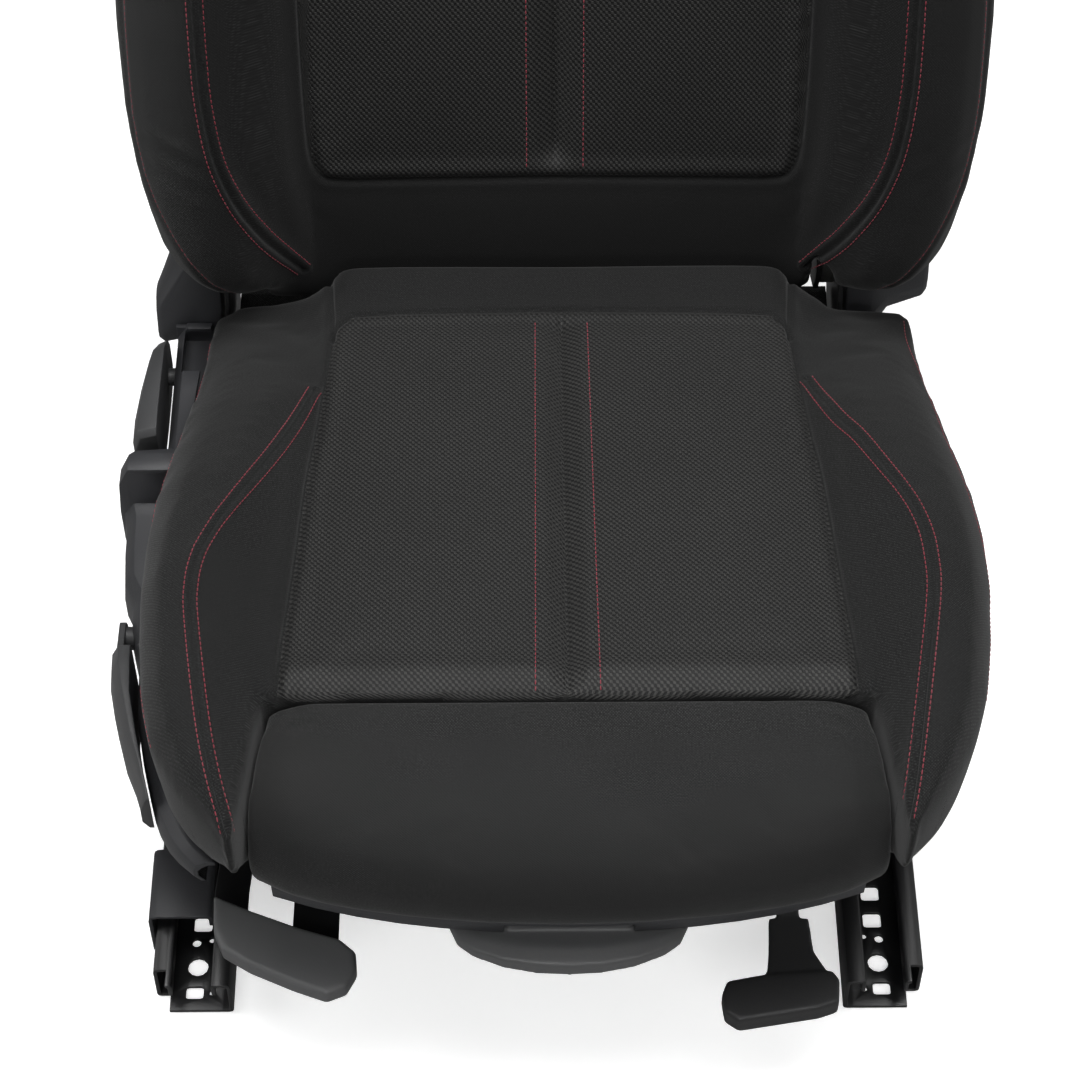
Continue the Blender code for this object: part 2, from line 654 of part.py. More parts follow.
# The right bolster's front is a little slimmer than the left one's.
HALF_WIDTH_RIGHT = [
    (-0.292, 0.188), (-0.286, 0.1925), (-0.278, 0.1990), (-0.270, 0.2055), (-0.254, 0.2170),
    (-0.238, 0.2275), (-0.214, 0.2395), (-0.190, 0.2475), (-0.167, 0.2530), (-0.110, 0.2592),
    (-0.067, 0.2610), (-0.014, 0.2580), (0.042, 0.2515), (0.100, 0.2455), (0.140, 0.2445), (0.161, 0.2440),
    (0.190, 0.2420), (0.218, 0.2340),
]
SEAM_X = [(-0.300, 0.1900), (-0.177, 0.1780), (-0.170, 0.1720), (0.100, 0.1530), (0.160, 0.1480),
          (0.218, 0.1460)]
CREST_X = [(-0.292, 0.1960), (-0.240, 0.2100), (-0.180, 0.2190), (-0.100, 0.2260), (-0.050, 0.2190),
           (0.000, 0.2060), (0.060, 0.1900), (0.160, 0.1850)]
CREST_RISE = [(-0.292, -0.020), (-0.286, -0.008), (-0.275, 0.006), (-0.250, 0.022), (-0.180, 0.036),
              (-0.080, 0.045), (0.000, 0.040), (0.080, 0.018), (0.130, -0.003), (0.160, -0.014),
              (0.185, -0.025), (0.218, -0.038)]
UNDERSIDE = [(-0.292, 0.253), (-0.286, 0.241), (-0.272, 0.226), (-0.256, 0.210), (-0.235, 0.195),
             (-0.214, 0.186), (-0.190, 0.178), (-0.170, 0.176), (0.218, 0.176)]


# How far the bolsters' sides lean in towards the underside.
TUCK = [(-0.292, 0.002), (-0.276, 0.005), (-0.250, 0.007), (-0.200, 0.008), (-0.120, 0.006), (0.218, 0.004)]


def half_ring(table, y):
    """One side of the cushion's section, from its centre plane outwards and back under it."""
    wide, seam, crest = between(table, y), between(SEAM_X, y), between(CREST_X, y)
    rise, flat, under = between(CREST_RISE, y), insert_height(y), between(UNDERSIDE, y)
    tuck = between(TUCK, y)
    seam = min(seam, wide - 0.008)
    crest = min(max(crest, seam + 0.005), wide - 0.0025)
    top = flat + rise
    return [
        (0.0, flat - 0.001), (0.080, flat), (0.5 * (0.08 + seam), flat), (seam, flat - 0.001),
        (seam + 0.35 * (crest - seam), flat + 0.45 * rise),
        (seam + 0.7 * (crest - seam), flat + 0.88 * rise), (crest, top),
        (crest + 0.55 * (wide - crest), top - 0.05 * (top - under)),
        (wide - 0.0005, top - 0.25 * (top - under)), (wide - 0.35 * tuck, top - 0.55 * (top - under)),
        (wide - 0.8 * tuck, under + 0.18 * (top - under)), (wide - tuck - 0.004, under + 0.002),
        (wide - tuck - 0.020, under),
        (0.165, CUSHION_BOTTOM + 0.6 * (under - 0.176)), (0.0, CUSHION_BOTTOM + 0.6 * (under - 0.176)),
    ]


def cushion_ring(y):
    right, left = half_ring(HALF_WIDTH_RIGHT, y), half_ring(HALF_WIDTH, y)
    return [(x, y, z) for x, z in right] + [(-x, y, z) for x, z in reversed(left[1:-1])]


def cushion_pad(pan):
    """Foam and cover between the bolsters, which reach forward on both sides of the thigh pad."""
    stations = [-0.292, -0.286, -0.276, -0.262, -0.240, -0.214, -0.180, -0.140, -0.100, -0.060, -0.014,
                0.030, 0.070, 0.110, 0.145, 0.165, 0.185, 0.205, 0.218]
    pad = loft("cushion_pad", [cushion_ring(y) for y in stations], "side_fabric", pan, 60)
    # The front between the bolsters belongs to the thigh pad and its carrier.
    bay = [(-0.1945, -0.320), (0.1945, -0.320), (0.1805, -0.1755), (-0.1805, -0.1755)]
    cut(pad, plate("cut_thigh_bay", bay, 0.300, "Z", 0.250, "side_fabric"))
    # The rear corners run diagonally in front of the recliners.
    corners = {
        LEFT: [(0.158, 0.2130), (0.185, 0.2115), (0.205, 0.2090), (0.223, 0.2060), (0.2260, 0.2000), (0.300, 0.1930)],
        RIGHT: [(0.158, 0.2130), (0.176, 0.2115), (0.1840, 0.2000), (0.2335, 0.1985), (0.300, 0.1920)],
    }
    for side, line in corners.items():
        corner = [(side * x, y) for x, y in [(0.158, 0.260)] + line + [(0.300, 0.260)]]
        cut(pad, plate(f"cut_rear_corner_{side}", corner[::side], 0.300, "Z", 0.200, "side_fabric"))
    # The rear face is hollowed round the recliner axis, so the backrest can turn in it.
    y, z = RECLINER
    cut(pad, rod("cut_back_sweep", (-0.30, y, z), (0.30, y, z), 0.0505, "side_fabric", sides=48))
    return pad


# ---------------------------------------------------------------- thigh support
def nose_sweep(x):
    """How far the front edge falls back away from the centre."""
    return 0.66 * x * x + 6.0 * x**4


def thigh_pad(thigh):
    profile = [
        (THIGH_REAR, 0.2680), (-0.215, 0.2765), (-0.250, 0.2790), (-0.274, 0.2730), (-0.291, 0.2580),
        (-0.3000, 0.2340), (-0.2970, 0.2080), (-0.2840, 0.1890), (-0.2640, 0.1780), (THIGH_REAR, 0.1760),
    ]
    rings = []
    count = 16
    for k in range(count + 1):
        t = -1 + 2 * k / count
        edge = max(0.0, abs(t) - 0.85) / 0.15
        ring = []
        for y, z in profile:
            depth = (THIGH_REAR - y) / 0.130
            x = t * (0.1775 + 0.0115 * depth)
            forward = THIGH_REAR + (y - THIGH_REAR) * (1 - 0.05 * edge)
            lowered = z - 0.010 * edge * edge if z > 0.22 else z
            ring.append((x, min(THIGH_REAR, forward + nose_sweep(x) * depth), lowered))
        rings.append(ring)
    return loft("thigh_pad", rings, "side_fabric", thigh, 60)


def thigh_carrier(thigh):
    """The tray under the thigh pad, with the two slide rods' sockets."""
    outline = []
    for k in range(9):
        x = -0.165 + 0.330 * k / 8
        outline.append((x, -0.262 + nose_sweep(x)))
    outline += [(0.165, -0.200), (-0.165, -0.200)]
    tray = plate("thigh_carrier", outline, 0.004, "Z", 0.1705, "shell_plastic", parent=thigh)
    for side in (LEFT, RIGHT):
        x = side * 0.070
        corners = (x - 0.014, -0.228, 0.120), (x + 0.014, -0.203, 0.1695)
        join(tray, box(f"socket_{side}", *corners, "shell_plastic"))
        cut(tray, rod(f"cut_socket_{side}", (x, -0.222, 0.1335), (x, -0.190, 0.1335), 0.0064,
                      "shell_plastic", sides=14))
    return tray


def front_trim(thigh):
    """The band that closes the gap under the thigh pad's nose, notched for the handle."""
    rings = []
    count = 14
    for k in range(count + 1):
        x = -0.178 + 0.356 * k / count
        y = -0.272 + nose_sweep(x)
        rings.append([
            (x, y, 0.1745), (x, y - 0.003, 0.1735), (x, y - 0.001, 0.1600), (x, y + 0.003, 0.1585),
            (x, y + 0.006, 0.1600), (x, y + 0.008, 0.1745),
        ])
    band = loft("front_trim", rings, "trim_plastic", thigh, 50)
    cut(band, box("cut_handle_notch", (-0.039, -0.300, 0.150), (0.039, -0.240, 0.1700), "trim_plastic"))
    return band


def thigh_handle(handle):
    """The crescent grip under the nose: a neck in the trim's notch, and a scooped grip below it."""
    widths = [-1.0, -0.93, -0.80, -0.55, -0.28, 0.0, 0.28, 0.55, 0.80, 0.93, 1.0]
    rings = []
    for t in widths:
        x = 0.0720 * t
        full = math.sqrt(max(0.0, 1 - t * t))
        swell = 0.30 + 0.70 * full
        back, front = -0.2560, -0.2640 - 0.0260 * full
        low, high = 0.1565 - 0.0190 * swell, 0.1570
        rings.append([
            (x, back, high), (x, front + 0.010 * swell, high - 0.001), (x, front, high - 0.006 * swell),
            (x, front - 0.001, low + 0.004 * swell), (x, front + 0.005, low),
            (x, back - 0.002, low + 0.004), (x, back, low + 0.008 * swell),
        ])
    grip = loft("thigh_handle", rings, "lever_plastic", handle, 45)
    corners = (-0.0375, -0.2680, 0.1500), (0.0375, -0.2575, 0.1675)
    neck = box("handle_neck", *corners, "lever_plastic", bevel=0.0015)
    join(grip, neck)
    return grip


def thigh_rod(side, thigh):
    x = side * 0.070
    return rod(f"thigh_rod_{SIDES[side]}", (x, -0.2215, 0.1335), (x, -0.080, 0.1335), 0.0058, "zinc_steel",
               thigh, 14)


def thigh_guide(side, pan):
    x = side * 0.070
    guide = box(f"thigh_guide_{SIDES[side]}", (x - 0.013, -0.190, 0.1258), (x + 0.013, -0.150, 0.1428),
                "shell_plastic", pan, bevel=0.0012)
    cut(guide, rod(f"cut_guide_{side}", (x, -0.20, 0.1335), (x, -0.14, 0.1335), 0.0064, "shell_plastic",
                   sides=14))
    return guide


# ---------------------------------------------------------------- levers
def slide_release(lever):
    """A bar through both upper rails, with two straps that carry the grip at the outboard corner."""
    y, z = RELEASE_BAR
    bar = rod("slide_release_bar", (layer_x(LEFT, -0.0045), y, z), (layer_x(RIGHT, -0.0045), y, z),
              PIN_R - 0.0001, "black_steel", lever, 14)
    path = [(-0.1300, 0.0560), (-0.1600, 0.0620), (-0.1950, 0.0790), (-0.2180, 0.0815), (-0.2420, 0.0815)]
    for number, (x0, x1, last) in enumerate(((-0.2225, -0.2010, 4), (-0.1720, -0.1430, 5))):
        rings = []
        for py, pz in path[:last]:
            rings.append([(x0, py, pz), (x1, py, pz), (x1, py, pz + 0.003), (x0, py, pz + 0.003)])
        join(bar, loft(f"release_strap_{number}", rings, "black_steel"))
    return bar


def slide_grip(lever):
    outline = [
        (-0.2215, -0.2080), (-0.1980, -0.2190), (-0.1660, -0.2320), (-0.1410, -0.2400), (-0.1310, -0.2490),
        (-0.1300, -0.2620), (-0.1360, -0.2740), (-0.1480, -0.2790), (-0.1690, -0.2710), (-0.1970, -0.2580),
        (-0.2140, -0.2470), (-0.2200, -0.2330),
    ]
    rings = []
    centre = Vector((-0.176, -0.243))
    layers = ((0.90, 0.0855), (0.985, 0.0870), (1.0, 0.0900), (1.0, 0.0965), (0.985, 0.0990),
              (0.93, 0.1000))
    for share, height in layers:
        rings.append([(*(centre + (Vector(point) - centre) * share), height) for point in outline])
    return loft("slide_release_grip", rings, "lever_plastic", lever, 40)


def tilt_lever(lever):
    """Hub on the front cross tube, a stem, and an L-shaped grip that reaches towards the centre."""
    y, z = CROSS_TUBE
    ends = (0.1280, y, z), (0.1480, y, z)
    hub = rod("tilt_release_lever", *ends, 0.0150, "lever_plastic", lever, 20, bore=0.0106)
    rings = []
    for py, pz, x0, x1 in ((-0.1930, 0.1080, 0.1310, 0.1450), (-0.2080, 0.0960, 0.1310, 0.1450),
                           (-0.2230, 0.0900, 0.1310, 0.1450), (-0.2231, 0.0900, 0.1260, 0.1510),
                           (-0.2450, 0.0870, 0.1250, 0.1530), (-0.2580, 0.0862, 0.1235, 0.1600),
                           (-0.2680, 0.0860, 0.1180, 0.1640)):
        low, high = pz - 0.003, pz + 0.003
        rings.append([(x0, py, low), (x1, py, low), (x1, py, high), (x0, py, high)])
    stem = loft("tilt_stem", rings, "lever_plastic")
    grip_outline = [
        (0.0980, -0.2660), (0.1180, -0.2620), (0.1640, -0.2590), (0.1680, -0.2650), (0.1665, -0.2815),
        (0.1550, -0.2855), (0.1040, -0.2940), (0.0960, -0.2880), (0.0945, -0.2750),
    ]
    centre = Vector((0.131, -0.278))
    grip_rings = []
    for share, height in ((0.90, 0.0740), (1.0, 0.0765), (1.0, 0.0885), (0.97, 0.0905)):
        flat = [centre + (Vector(point) - centre) * share for point in grip_outline]
        grip_rings.append([(*point, height) for point in flat])
    join(hub, stem)
    join(hub, loft("tilt_grip", grip_rings, "lever_plastic"))
    return hub


def height_lever(lever):
    """The long paddle that follows the valance round the front corner of the seat."""
    # (y, outer x, inner x, top z, bottom z)
    stations = [
        (-0.070, -0.2890, -0.2752, 0.176, 0.120), (-0.074, -0.2905, -0.2750, 0.181, 0.113),
        (-0.088, -0.2895, -0.2742, 0.183, 0.112), (-0.110, -0.2850, -0.2728, 0.182, 0.116),
        (-0.140, -0.2768, -0.2668, 0.180, 0.122), (-0.160, -0.2690, -0.2618, 0.178, 0.127),
        (-0.176, -0.2640, -0.2578, 0.176, 0.132), (-0.184, -0.2625, -0.2557, 0.173, 0.140),
    ]
    rings = []
    for y, outer, inner, top, bottom in stations:
        height = top - bottom
        rings.append([
            (inner, y, bottom), (outer + 0.004, y, bottom), (outer, y, bottom + 0.20 * height),
            (outer, y, bottom + 0.55 * height), (outer + 0.003, y, bottom + 0.85 * height),
            (min(outer + 0.008, 0.5 * (outer + inner) + 0.002), y, top), (inner, y, top),
        ])
    paddle = loft("height_lever", rings, "lever_plastic", lever, 40)
    y, z = HEIGHT_PIVOT
    arm = [(y + 0.011, z), (y + 0.007, z + 0.009), (y - 0.020, z + 0.011), (y - 0.051, z + 0.018),
           (y - 0.051, z - 0.010), (y - 0.020, z - 0.011), (y + 0.007, z - 0.009)]
    join(paddle, plate("lever_arm", rounded(arm, 0.004), 0.0042, "X", -0.2885, "lever_plastic"))
    join(paddle, rod("lever_hub", (-0.2890, y, z), (-0.2600, y, z), 0.0078, "lever_plastic", sides=16))
    cut(paddle, rod("cut_lever_hub", (-0.2850, y, z), (-0.2550, y, z), 0.0065, "lever_plastic", sides=14))
    return paddle


def recline_lever(lever):
    """The flat handle behind the housing; it lifts to free the recliner."""
    stations = [
        (0.100, -0.2870, 0.180, 0.140), (0.104, -0.2885, 0.184, 0.134), (0.122, -0.2885, 0.185, 0.130),
        (0.150, -0.2865, 0.184, 0.128), (0.178, -0.2835, 0.182, 0.128), (0.191, -0.2810, 0.174, 0.134),
        (0.196, -0.2790, 0.164, 0.142),
    ]
    rings = []
    for y, outer, top, bottom in stations:
        inner = -0.2712 if y < 0.18 else -0.2705
        rings.append([(inner, y, bottom), (outer + 0.003, y, bottom), (outer, y, bottom + 0.010),
                      (outer, y, top - 0.016), (outer + 0.004, y, top - 0.004), (inner, y, top)])
    body = loft("recline_lever", rings, "lever_plastic", lever, 40)
    y, z = RECLINE_LEVER_PIVOT
    join(body, rod("recline_hub", (-0.2790, y, z), (-0.2480, y, z), 0.0062, "lever_plastic", sides=14))
    return body


# ---------------------------------------------------------------- backrest, in its own frame
# Here -Y faces the occupant, Z runs up the backrest, and the origin is on the recliner axis.
def back_side_member(side, back):
    outline = [(-0.036, -0.016), (-0.018, -0.038), (0.018, -0.038), (0.036, -0.016), (0.040, 0.060),
               (0.036, 0.300), (0.030, 0.500), (0.004, 0.500), (-0.008, 0.300), (-0.015, 0.050),
               (-0.034, 0.016)]
    radii = [0.02, 0.02, 0.02, 0.02, 0.02, 0, 0.01, 0.01, 0, 0.02, 0.02]
    holes = [circle((0, 0), 0.0085, 16), slot_hole((0.004, 0.150), 0.022, 0.080, 0.008),
             slot_hole((0.008, 0.300), 0.020, 0.080, 0.008)]
    x = layer_x(side, BACK_MEMBER_LAYER)
    name = f"back_side_member_{SIDES[side]}"
    return plate(name, rounded(outline, radii, 2), PLATE, "X", x, "black_steel", holes, back)


def back_frame(back):
    left, right = layer_x(LEFT, 0.0385), layer_x(RIGHT, 0.0385)
    y = 0.016
    path = [(left, y, 0.300), (left, y, 0.470), (left + 0.012, y, 0.520), (left + 0.045, y, 0.560),
            (left + 0.075, y, 0.572), (right - 0.075, y, 0.572), (right - 0.045, y, 0.560),
            (right - 0.012, y, 0.520), (right, y, 0.470), (right, y, 0.300)]
    wire("back_frame_tube", path, 0.0100, "black_steel", back, 2)
    inner_left, inner_right = layer_x(LEFT, 0.0275), layer_x(RIGHT, 0.0275)
    profile = [(0.030, 0.028), (0.033, 0.028), (0.033, 0.095), (0.012, 0.095), (0.012, 0.092),
               (0.030, 0.092)]
    rings = [[(x, py, pz) for py, pz in profile] for x in (inner_left, inner_right)]
    loft("back_lower_cross_member", rings, "black_steel", back)


def lumbar_plate(back):
    """The flexible plastic plate behind the foam, cut into ribs."""
    rings = []
    bulge = 0.012
    for k in range(9):
        x = -0.018 - 0.130 + 0.260 * k / 8
        y = -0.004 - bulge * (1 - ((x + 0.018) / 0.130) ** 2)
        rings.append([(x, y, 0.110), (x, y, 0.380), (x, y + 0.003, 0.380), (x, y + 0.003, 0.110)])
    basket = loft("lumbar_plate", rings, "shell_plastic", back)
    for number in range(5):
        z = 0.145 + 0.050 * number
        cut(basket, box(f"cut_rib_{number}", (-0.120, -0.03, z - 0.008), (0.084, 0.02, z + 0.008),
                        "shell_plastic"))
    return basket


BACK_HALF = [
    (-0.040, 0.205), (-0.030, 0.225), (-0.015, 0.246), (0.000, 0.258), (0.018, 0.267), (0.060, 0.279),
    (0.115, 0.286), (0.180, 0.288), (0.300, 0.284), (0.400, 0.274), (0.480, 0.257), (0.540, 0.236),
    (0.590, 0.208), (0.620, 0.177), (0.640, 0.136),
]
BACK_BOLSTER = [
    (-0.040, 0.022), (-0.030, 0.032), (-0.015, 0.073), (0.000, 0.097), (0.018, 0.107), (0.040, 0.112),
    (0.100, 0.120), (0.200, 0.122), (0.300, 0.115), (0.400, 0.094), (0.480, 0.072), (0.560, 0.058),
    (0.620, 0.044), (0.640, 0.024),
]
BACK_FRONT = [
    (-0.040, 0.021), (-0.030, 0.024), (-0.015, 0.030), (0.000, 0.036), (0.055, 0.041), (0.200, 0.048),
    (0.350, 0.046), (0.500, 0.044), (0.580, 0.042), (0.620, 0.036), (0.640, 0.020),
]
BACK_REAR = [
    (-0.040, -0.020), (-0.020, -0.038), (0.020, -0.046), (0.300, -0.048), (0.560, -0.046),
    (0.620, -0.038), (0.640, -0.024),
]
# The bay for the frame, open to the rear and below: half width, and how far forward its floor lies.
BAY_HALF = [(0.505, 0.218), (0.540, 0.202), (0.565, 0.185), (0.590, 0.160)]
BAY_TOP = 0.588
BAY_FLOOR = 0.018


def back_ring(z):
    """Closed ring of the backrest foam at one height; depths are measured forward."""
    wide, bolster = between(BACK_HALF, z), between(BACK_BOLSTER, z)
    front, rear = between(BACK_FRONT, z), between(BACK_REAR, z)
    bay = min(between(BAY_HALF, z), wide - 0.014)
    floor = BAY_FLOOR if z <= BAY_TOP else rear + 0.0005
    wing = wide - bay
    seam = min(0.163, wide * 0.66)
    crest = seam + 0.64 * (wide - seam)
    half = [
        (0.0, front - 0.0005), (0.5 * seam, front), (seam, front + 0.002),
        (seam + 0.30 * (crest - seam), front + 0.35 * (bolster - front)),
        (seam + 0.68 * (crest - seam), front + 0.85 * (bolster - front)),
        (crest, bolster), (crest + 0.5 * (wide - crest), bolster - 0.12 * (bolster - front)),
        (wide - 0.003, front + 0.52 * (bolster - front)), (wide, front + 0.10 * (bolster - front)),
        (wide - 0.004, rear + 0.30 * (front - rear)), (wide - 0.35 * wing, rear + 0.004),
        (bay + 0.20 * wing, rear), (bay, rear + 0.0002), (bay, floor), (0.0, floor),
    ]
    left = [(-x, depth) for x, depth in reversed(half[1:-1])]
    return [(BACK_SHIFT + x, -depth, z) for x, depth in half + left]


def back_pad(back):
    stations = [
        -0.040, -0.030, -0.015, 0.000, 0.018, 0.060, 0.115, 0.180, 0.240, 0.300, 0.360, 0.420, 0.465,
        0.505, 0.540, 0.565, BAY_TOP, 0.5925, 0.620, 0.640,
    ]
    pad = loft("back_pad", [back_ring(z) for z in stations], "side_fabric", back, 60)
    for side in (LEFT, RIGHT):
        x = BACK_SHIFT + side * POST_SPACING / 2
        sleeve_room = rod(f"cut_sleeve_{side}", (x, POST_Y, 0.550), (x, POST_Y, 0.660), 0.0105,
                          "side_fabric", back, sides=16)
        cut(pad, sleeve_room)
    for side, inner in ((LEFT, -0.2060), (RIGHT, 0.1740)):
        room = rod(f"cut_recliner_room_{side}", (inner, 0, 0), (side * 0.320, 0, 0), 0.0515, "side_fabric",
                   back, sides=36)
        cut(pad, room, "MANIFOLD")
    return pad


def back_shell(back):
    """The moulded rear panel, wrapped forward at its edges."""
    stations = [(-0.030, 0.156), (0.034, 0.166), (0.050, 0.236), (0.100, 0.249), (0.200, 0.255),
                (0.320, 0.251), (0.430, 0.240), (0.520, 0.216), (0.580, 0.180), (0.606, 0.140)]
    wall = 0.003
    rings = []
    for z, wide in stations:
        depth = 0.066 - 0.012 * ((z - 0.25) / 0.35) ** 2
        lip = 0.0510
        right = [(0, depth + 0.006), (wide - 0.024, depth), (wide - 0.006, depth - 0.006), (wide, lip)]
        inner = [(wide - wall, lip), (wide - 0.0090, depth - 0.008), (wide - 0.025, depth - 0.003),
                 (0, depth + 0.003)]
        loop = right + inner
        loop += [(-x, y) for x, y in reversed(inner[:-1])] + [(-x, y) for x, y in reversed(right[1:])]
        rings.append([(BACK_SHIFT + x, y, z) for x, y in loop])
    return loft("back_shell", rings, "shell_plastic", back, 50)


def recliner_shaft(shaft):
    """The shaft that joins both recliners and turns to free them."""
    y, z = RECLINER
    return rod("recliner_shaft", (layer_x(LEFT, 0.0080), y, z), (layer_x(RIGHT, 0.0080), y, z), 0.0075,
               "zinc_steel", shaft, 14)


# ---------------------------------------------------------------- head restraint, in the backrest's frame
def head_sleeve(side, back):
    x = BACK_SHIFT + side * POST_SPACING / 2
    name = f"headrest_sleeve_{SIDES[side]}"
    ends = (x, POST_Y, 0.5560), (x, POST_Y, 0.6440)
    sleeve = rod(name, *ends, 0.0098, "trim_plastic", back, 16, bore=0.0066)
    ends = (x, POST_Y, 0.6425), (x, POST_Y, 0.6500)
    join(sleeve, rod(f"collar_{side}", *ends, 0.0150, "trim_plastic", back, 16, bore=0.0066))
    return sleeve


def post_path(bottom):
    """One bent tube: two posts and the cross bar inside the head pad."""
    a = POST_SPACING / 2
    half = [(a, bottom, 0), (a, 0.700, 0), (a - 0.004, 0.714, -0.003), (a - 0.016, 0.720, -0.006)]
    right = [(BACK_SHIFT + x, POST_Y + dy, z) for x, z, dy in half]
    left = [(BACK_SHIFT - x, POST_Y + dy, z) for x, z, dy in half]
    return left + right[::-1]


def head_posts(head):
    return wire("headrest_posts", post_path(0.500), POST_R, "chrome", head, 2)


def head_pad(head):
    # (z, half width, front depth, rear depth)
    stations = [(0.668, 0.092, 0.034, 0.026), (0.676, 0.112, 0.048, 0.036), (0.700, 0.126, 0.062, 0.042),
                (0.740, 0.132, 0.068, 0.042), (0.790, 0.130, 0.064, 0.036), (0.825, 0.120, 0.052, 0.026),
                (0.842, 0.104, 0.038, 0.014), (0.850, 0.078, 0.022, 0.000)]
    rings = []
    for z, wide, front, rear in stations:
        ring = []
        for k in range(20):
            t = 2 * math.pi * k / 20
            c, s = math.cos(t), math.sin(t)
            x = BACK_SHIFT + wide * math.copysign(abs(c) ** 0.7, c)
            depth = (front + rear) / 2
            y = (rear - front) / 2 + depth * math.copysign(abs(s) ** 0.75, s)
            ring.append((x, y, z))
        rings.append(ring)
    pad = loft("headrest_pad", rings, "side_fabric", head, 60)
    curve = wire("cut_posts", post_path(0.640), POST_R + 0.0008, "side_fabric", head, 2)
    curve.hide_render = True
    cutter = bpy.data.objects.new("cut_posts_mesh", bpy.data.meshes.new_from_object(curve))
    bpy.context.scene.collection.objects.link(cutter)
    attach(cutter, head)
    cut(pad, cutter)
    return pad


def head_button(button):
    x = BACK_SHIFT + POST_SPACING / 2
    corners = (x + 0.0180, POST_Y - 0.0050, 0.6428), (x + 0.0260, POST_Y + 0.0050, 0.6488)
    return box("headrest_button", *corners, "lever_plastic", button, bevel=0.0008)


# ---------------------------------------------------------------- assembly
def empty(name, parent=None, at=(0.0, 0.0)):
    """An empty on a joint's axis, at (y, z) of the frame its children are drawn in."""
    obj = bpy.data.objects.new(name, None)
    bpy.context.scene.collection.objects.link(obj)
    obj["drawn_at"] = (0.0, *at)
    obj.location = obj["drawn_at"]
    attach(obj, parent)
    return obj


def build_base():
    cages, carriage = empty("ball_cages"), empty("carriage")
    for side in (LEFT, RIGHT):
        lower_rail(side)
        ball_cage(side, cages)
        upper_rail(side, carriage)
    rail_cover(carriage)
    lever = empty("slide_release_pivot", carriage, RELEASE_BAR)
    slide_release(lever)
    slide_grip(lever)
    return carriage


def build_linkage(carriage):
    for end, pivot_y in (("front", FRONT_PIVOT_Y), ("rear", REAR_PIVOT_Y)):
        group = empty(f"{end}_link_pivot", carriage, (pivot_y, PIVOT_Z))
        for side in (LEFT, RIGHT):
            link(f"{end}_link_{SIDES[side]}", side, pivot_y, group)
            link_pin(f"{end}_link_pin_{SIDES[side]}", side, pivot_y, carriage)
        torsion_tube(f"{end}_torsion_tube", pivot_y, group)
    return empty("seat_frame", group, link_end(REAR_PIVOT_Y))


def build_frame(frame):
    for side in (LEFT, RIGHT):
        side_member(side, frame)
        recliner_cover(side, frame)
        recliner_disc(side, frame)
    cross_members(frame)
    height_pump(frame)
    side_valance(frame)
    inner_trim(frame)
    tilt_lever(empty("tilt_release_pivot", frame, CROSS_TUBE))
    height_lever(empty("height_lever_pivot", frame, HEIGHT_PIVOT))
    recline_lever(empty("recline_lever_pivot", frame, RECLINE_LEVER_PIVOT))
    recliner_shaft(empty("recliner_shaft_pivot", frame, RECLINER))


def build_pan(frame):
    pan = empty("pan_pivot", frame, PAN_PIVOT)
    seat_pan(pan)
    cushion_pad(pan)
    for number in range(4):
        suspension_spring(number + 1, RAIL_OFFSET + (number - 1.5) * 0.085, pan)
    thigh = empty("thigh_support", pan)
    for side in (LEFT, RIGHT):
        thigh_guide(side, pan)
        thigh_rod(side, thigh)
    thigh_pad(thigh)
    thigh_carrier(thigh)
    front_trim(thigh)
    thigh_handle(empty("handle_pivot", thigh, HANDLE_PIVOT))


def build_back(frame):
    """The backrest's pieces are drawn upright round the recliner axis, then leaned back together."""
    back = empty("recliner_pivot", frame, RECLINER)
    back.rotation_euler.x = -RECLINE
    back["drawn_at"] = (0.0, 0.0, 0.0)
    for side in (LEFT, RIGHT):
        back_side_member(side, back)
        head_sleeve(side, back)
    back_frame(back)
    lumbar_plate(back)
    back_pad(back)
    back_shell(back)
    head = empty("head_restraint", back)
    head_posts(head)
    head_pad(head)
    head_button(empty("headrest_button_guide", back))


clear_scene()
make_materials()
seat_frame = build_linkage(build_base())
build_frame(seat_frame)
build_pan(seat_frame)
build_back(seat_frame)
for item in bpy.data.objects:
    if item.parent is None:
        item.location -= Vector(DATUM)
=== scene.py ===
"""Looks for the sport seat: fabric, stitching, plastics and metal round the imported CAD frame."""
import json
import math

import bmesh
import bpy
import numpy as np
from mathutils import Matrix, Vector
from mathutils.bvhtree import BVHTree


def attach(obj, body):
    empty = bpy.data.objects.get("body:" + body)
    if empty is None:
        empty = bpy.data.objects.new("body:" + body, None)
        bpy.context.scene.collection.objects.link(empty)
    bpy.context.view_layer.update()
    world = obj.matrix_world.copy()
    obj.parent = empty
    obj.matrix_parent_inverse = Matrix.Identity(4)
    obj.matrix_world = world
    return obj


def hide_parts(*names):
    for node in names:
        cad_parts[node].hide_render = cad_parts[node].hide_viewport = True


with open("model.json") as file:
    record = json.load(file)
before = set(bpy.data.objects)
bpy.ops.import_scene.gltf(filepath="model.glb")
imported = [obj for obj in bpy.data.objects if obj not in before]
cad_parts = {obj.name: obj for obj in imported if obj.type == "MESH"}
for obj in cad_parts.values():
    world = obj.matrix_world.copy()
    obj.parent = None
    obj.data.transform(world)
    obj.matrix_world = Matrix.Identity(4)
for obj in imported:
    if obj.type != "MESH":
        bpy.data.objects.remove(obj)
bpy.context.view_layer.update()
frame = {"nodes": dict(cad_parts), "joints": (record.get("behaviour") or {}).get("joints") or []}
NODES = frame["nodes"]
SCENE = bpy.context.scene

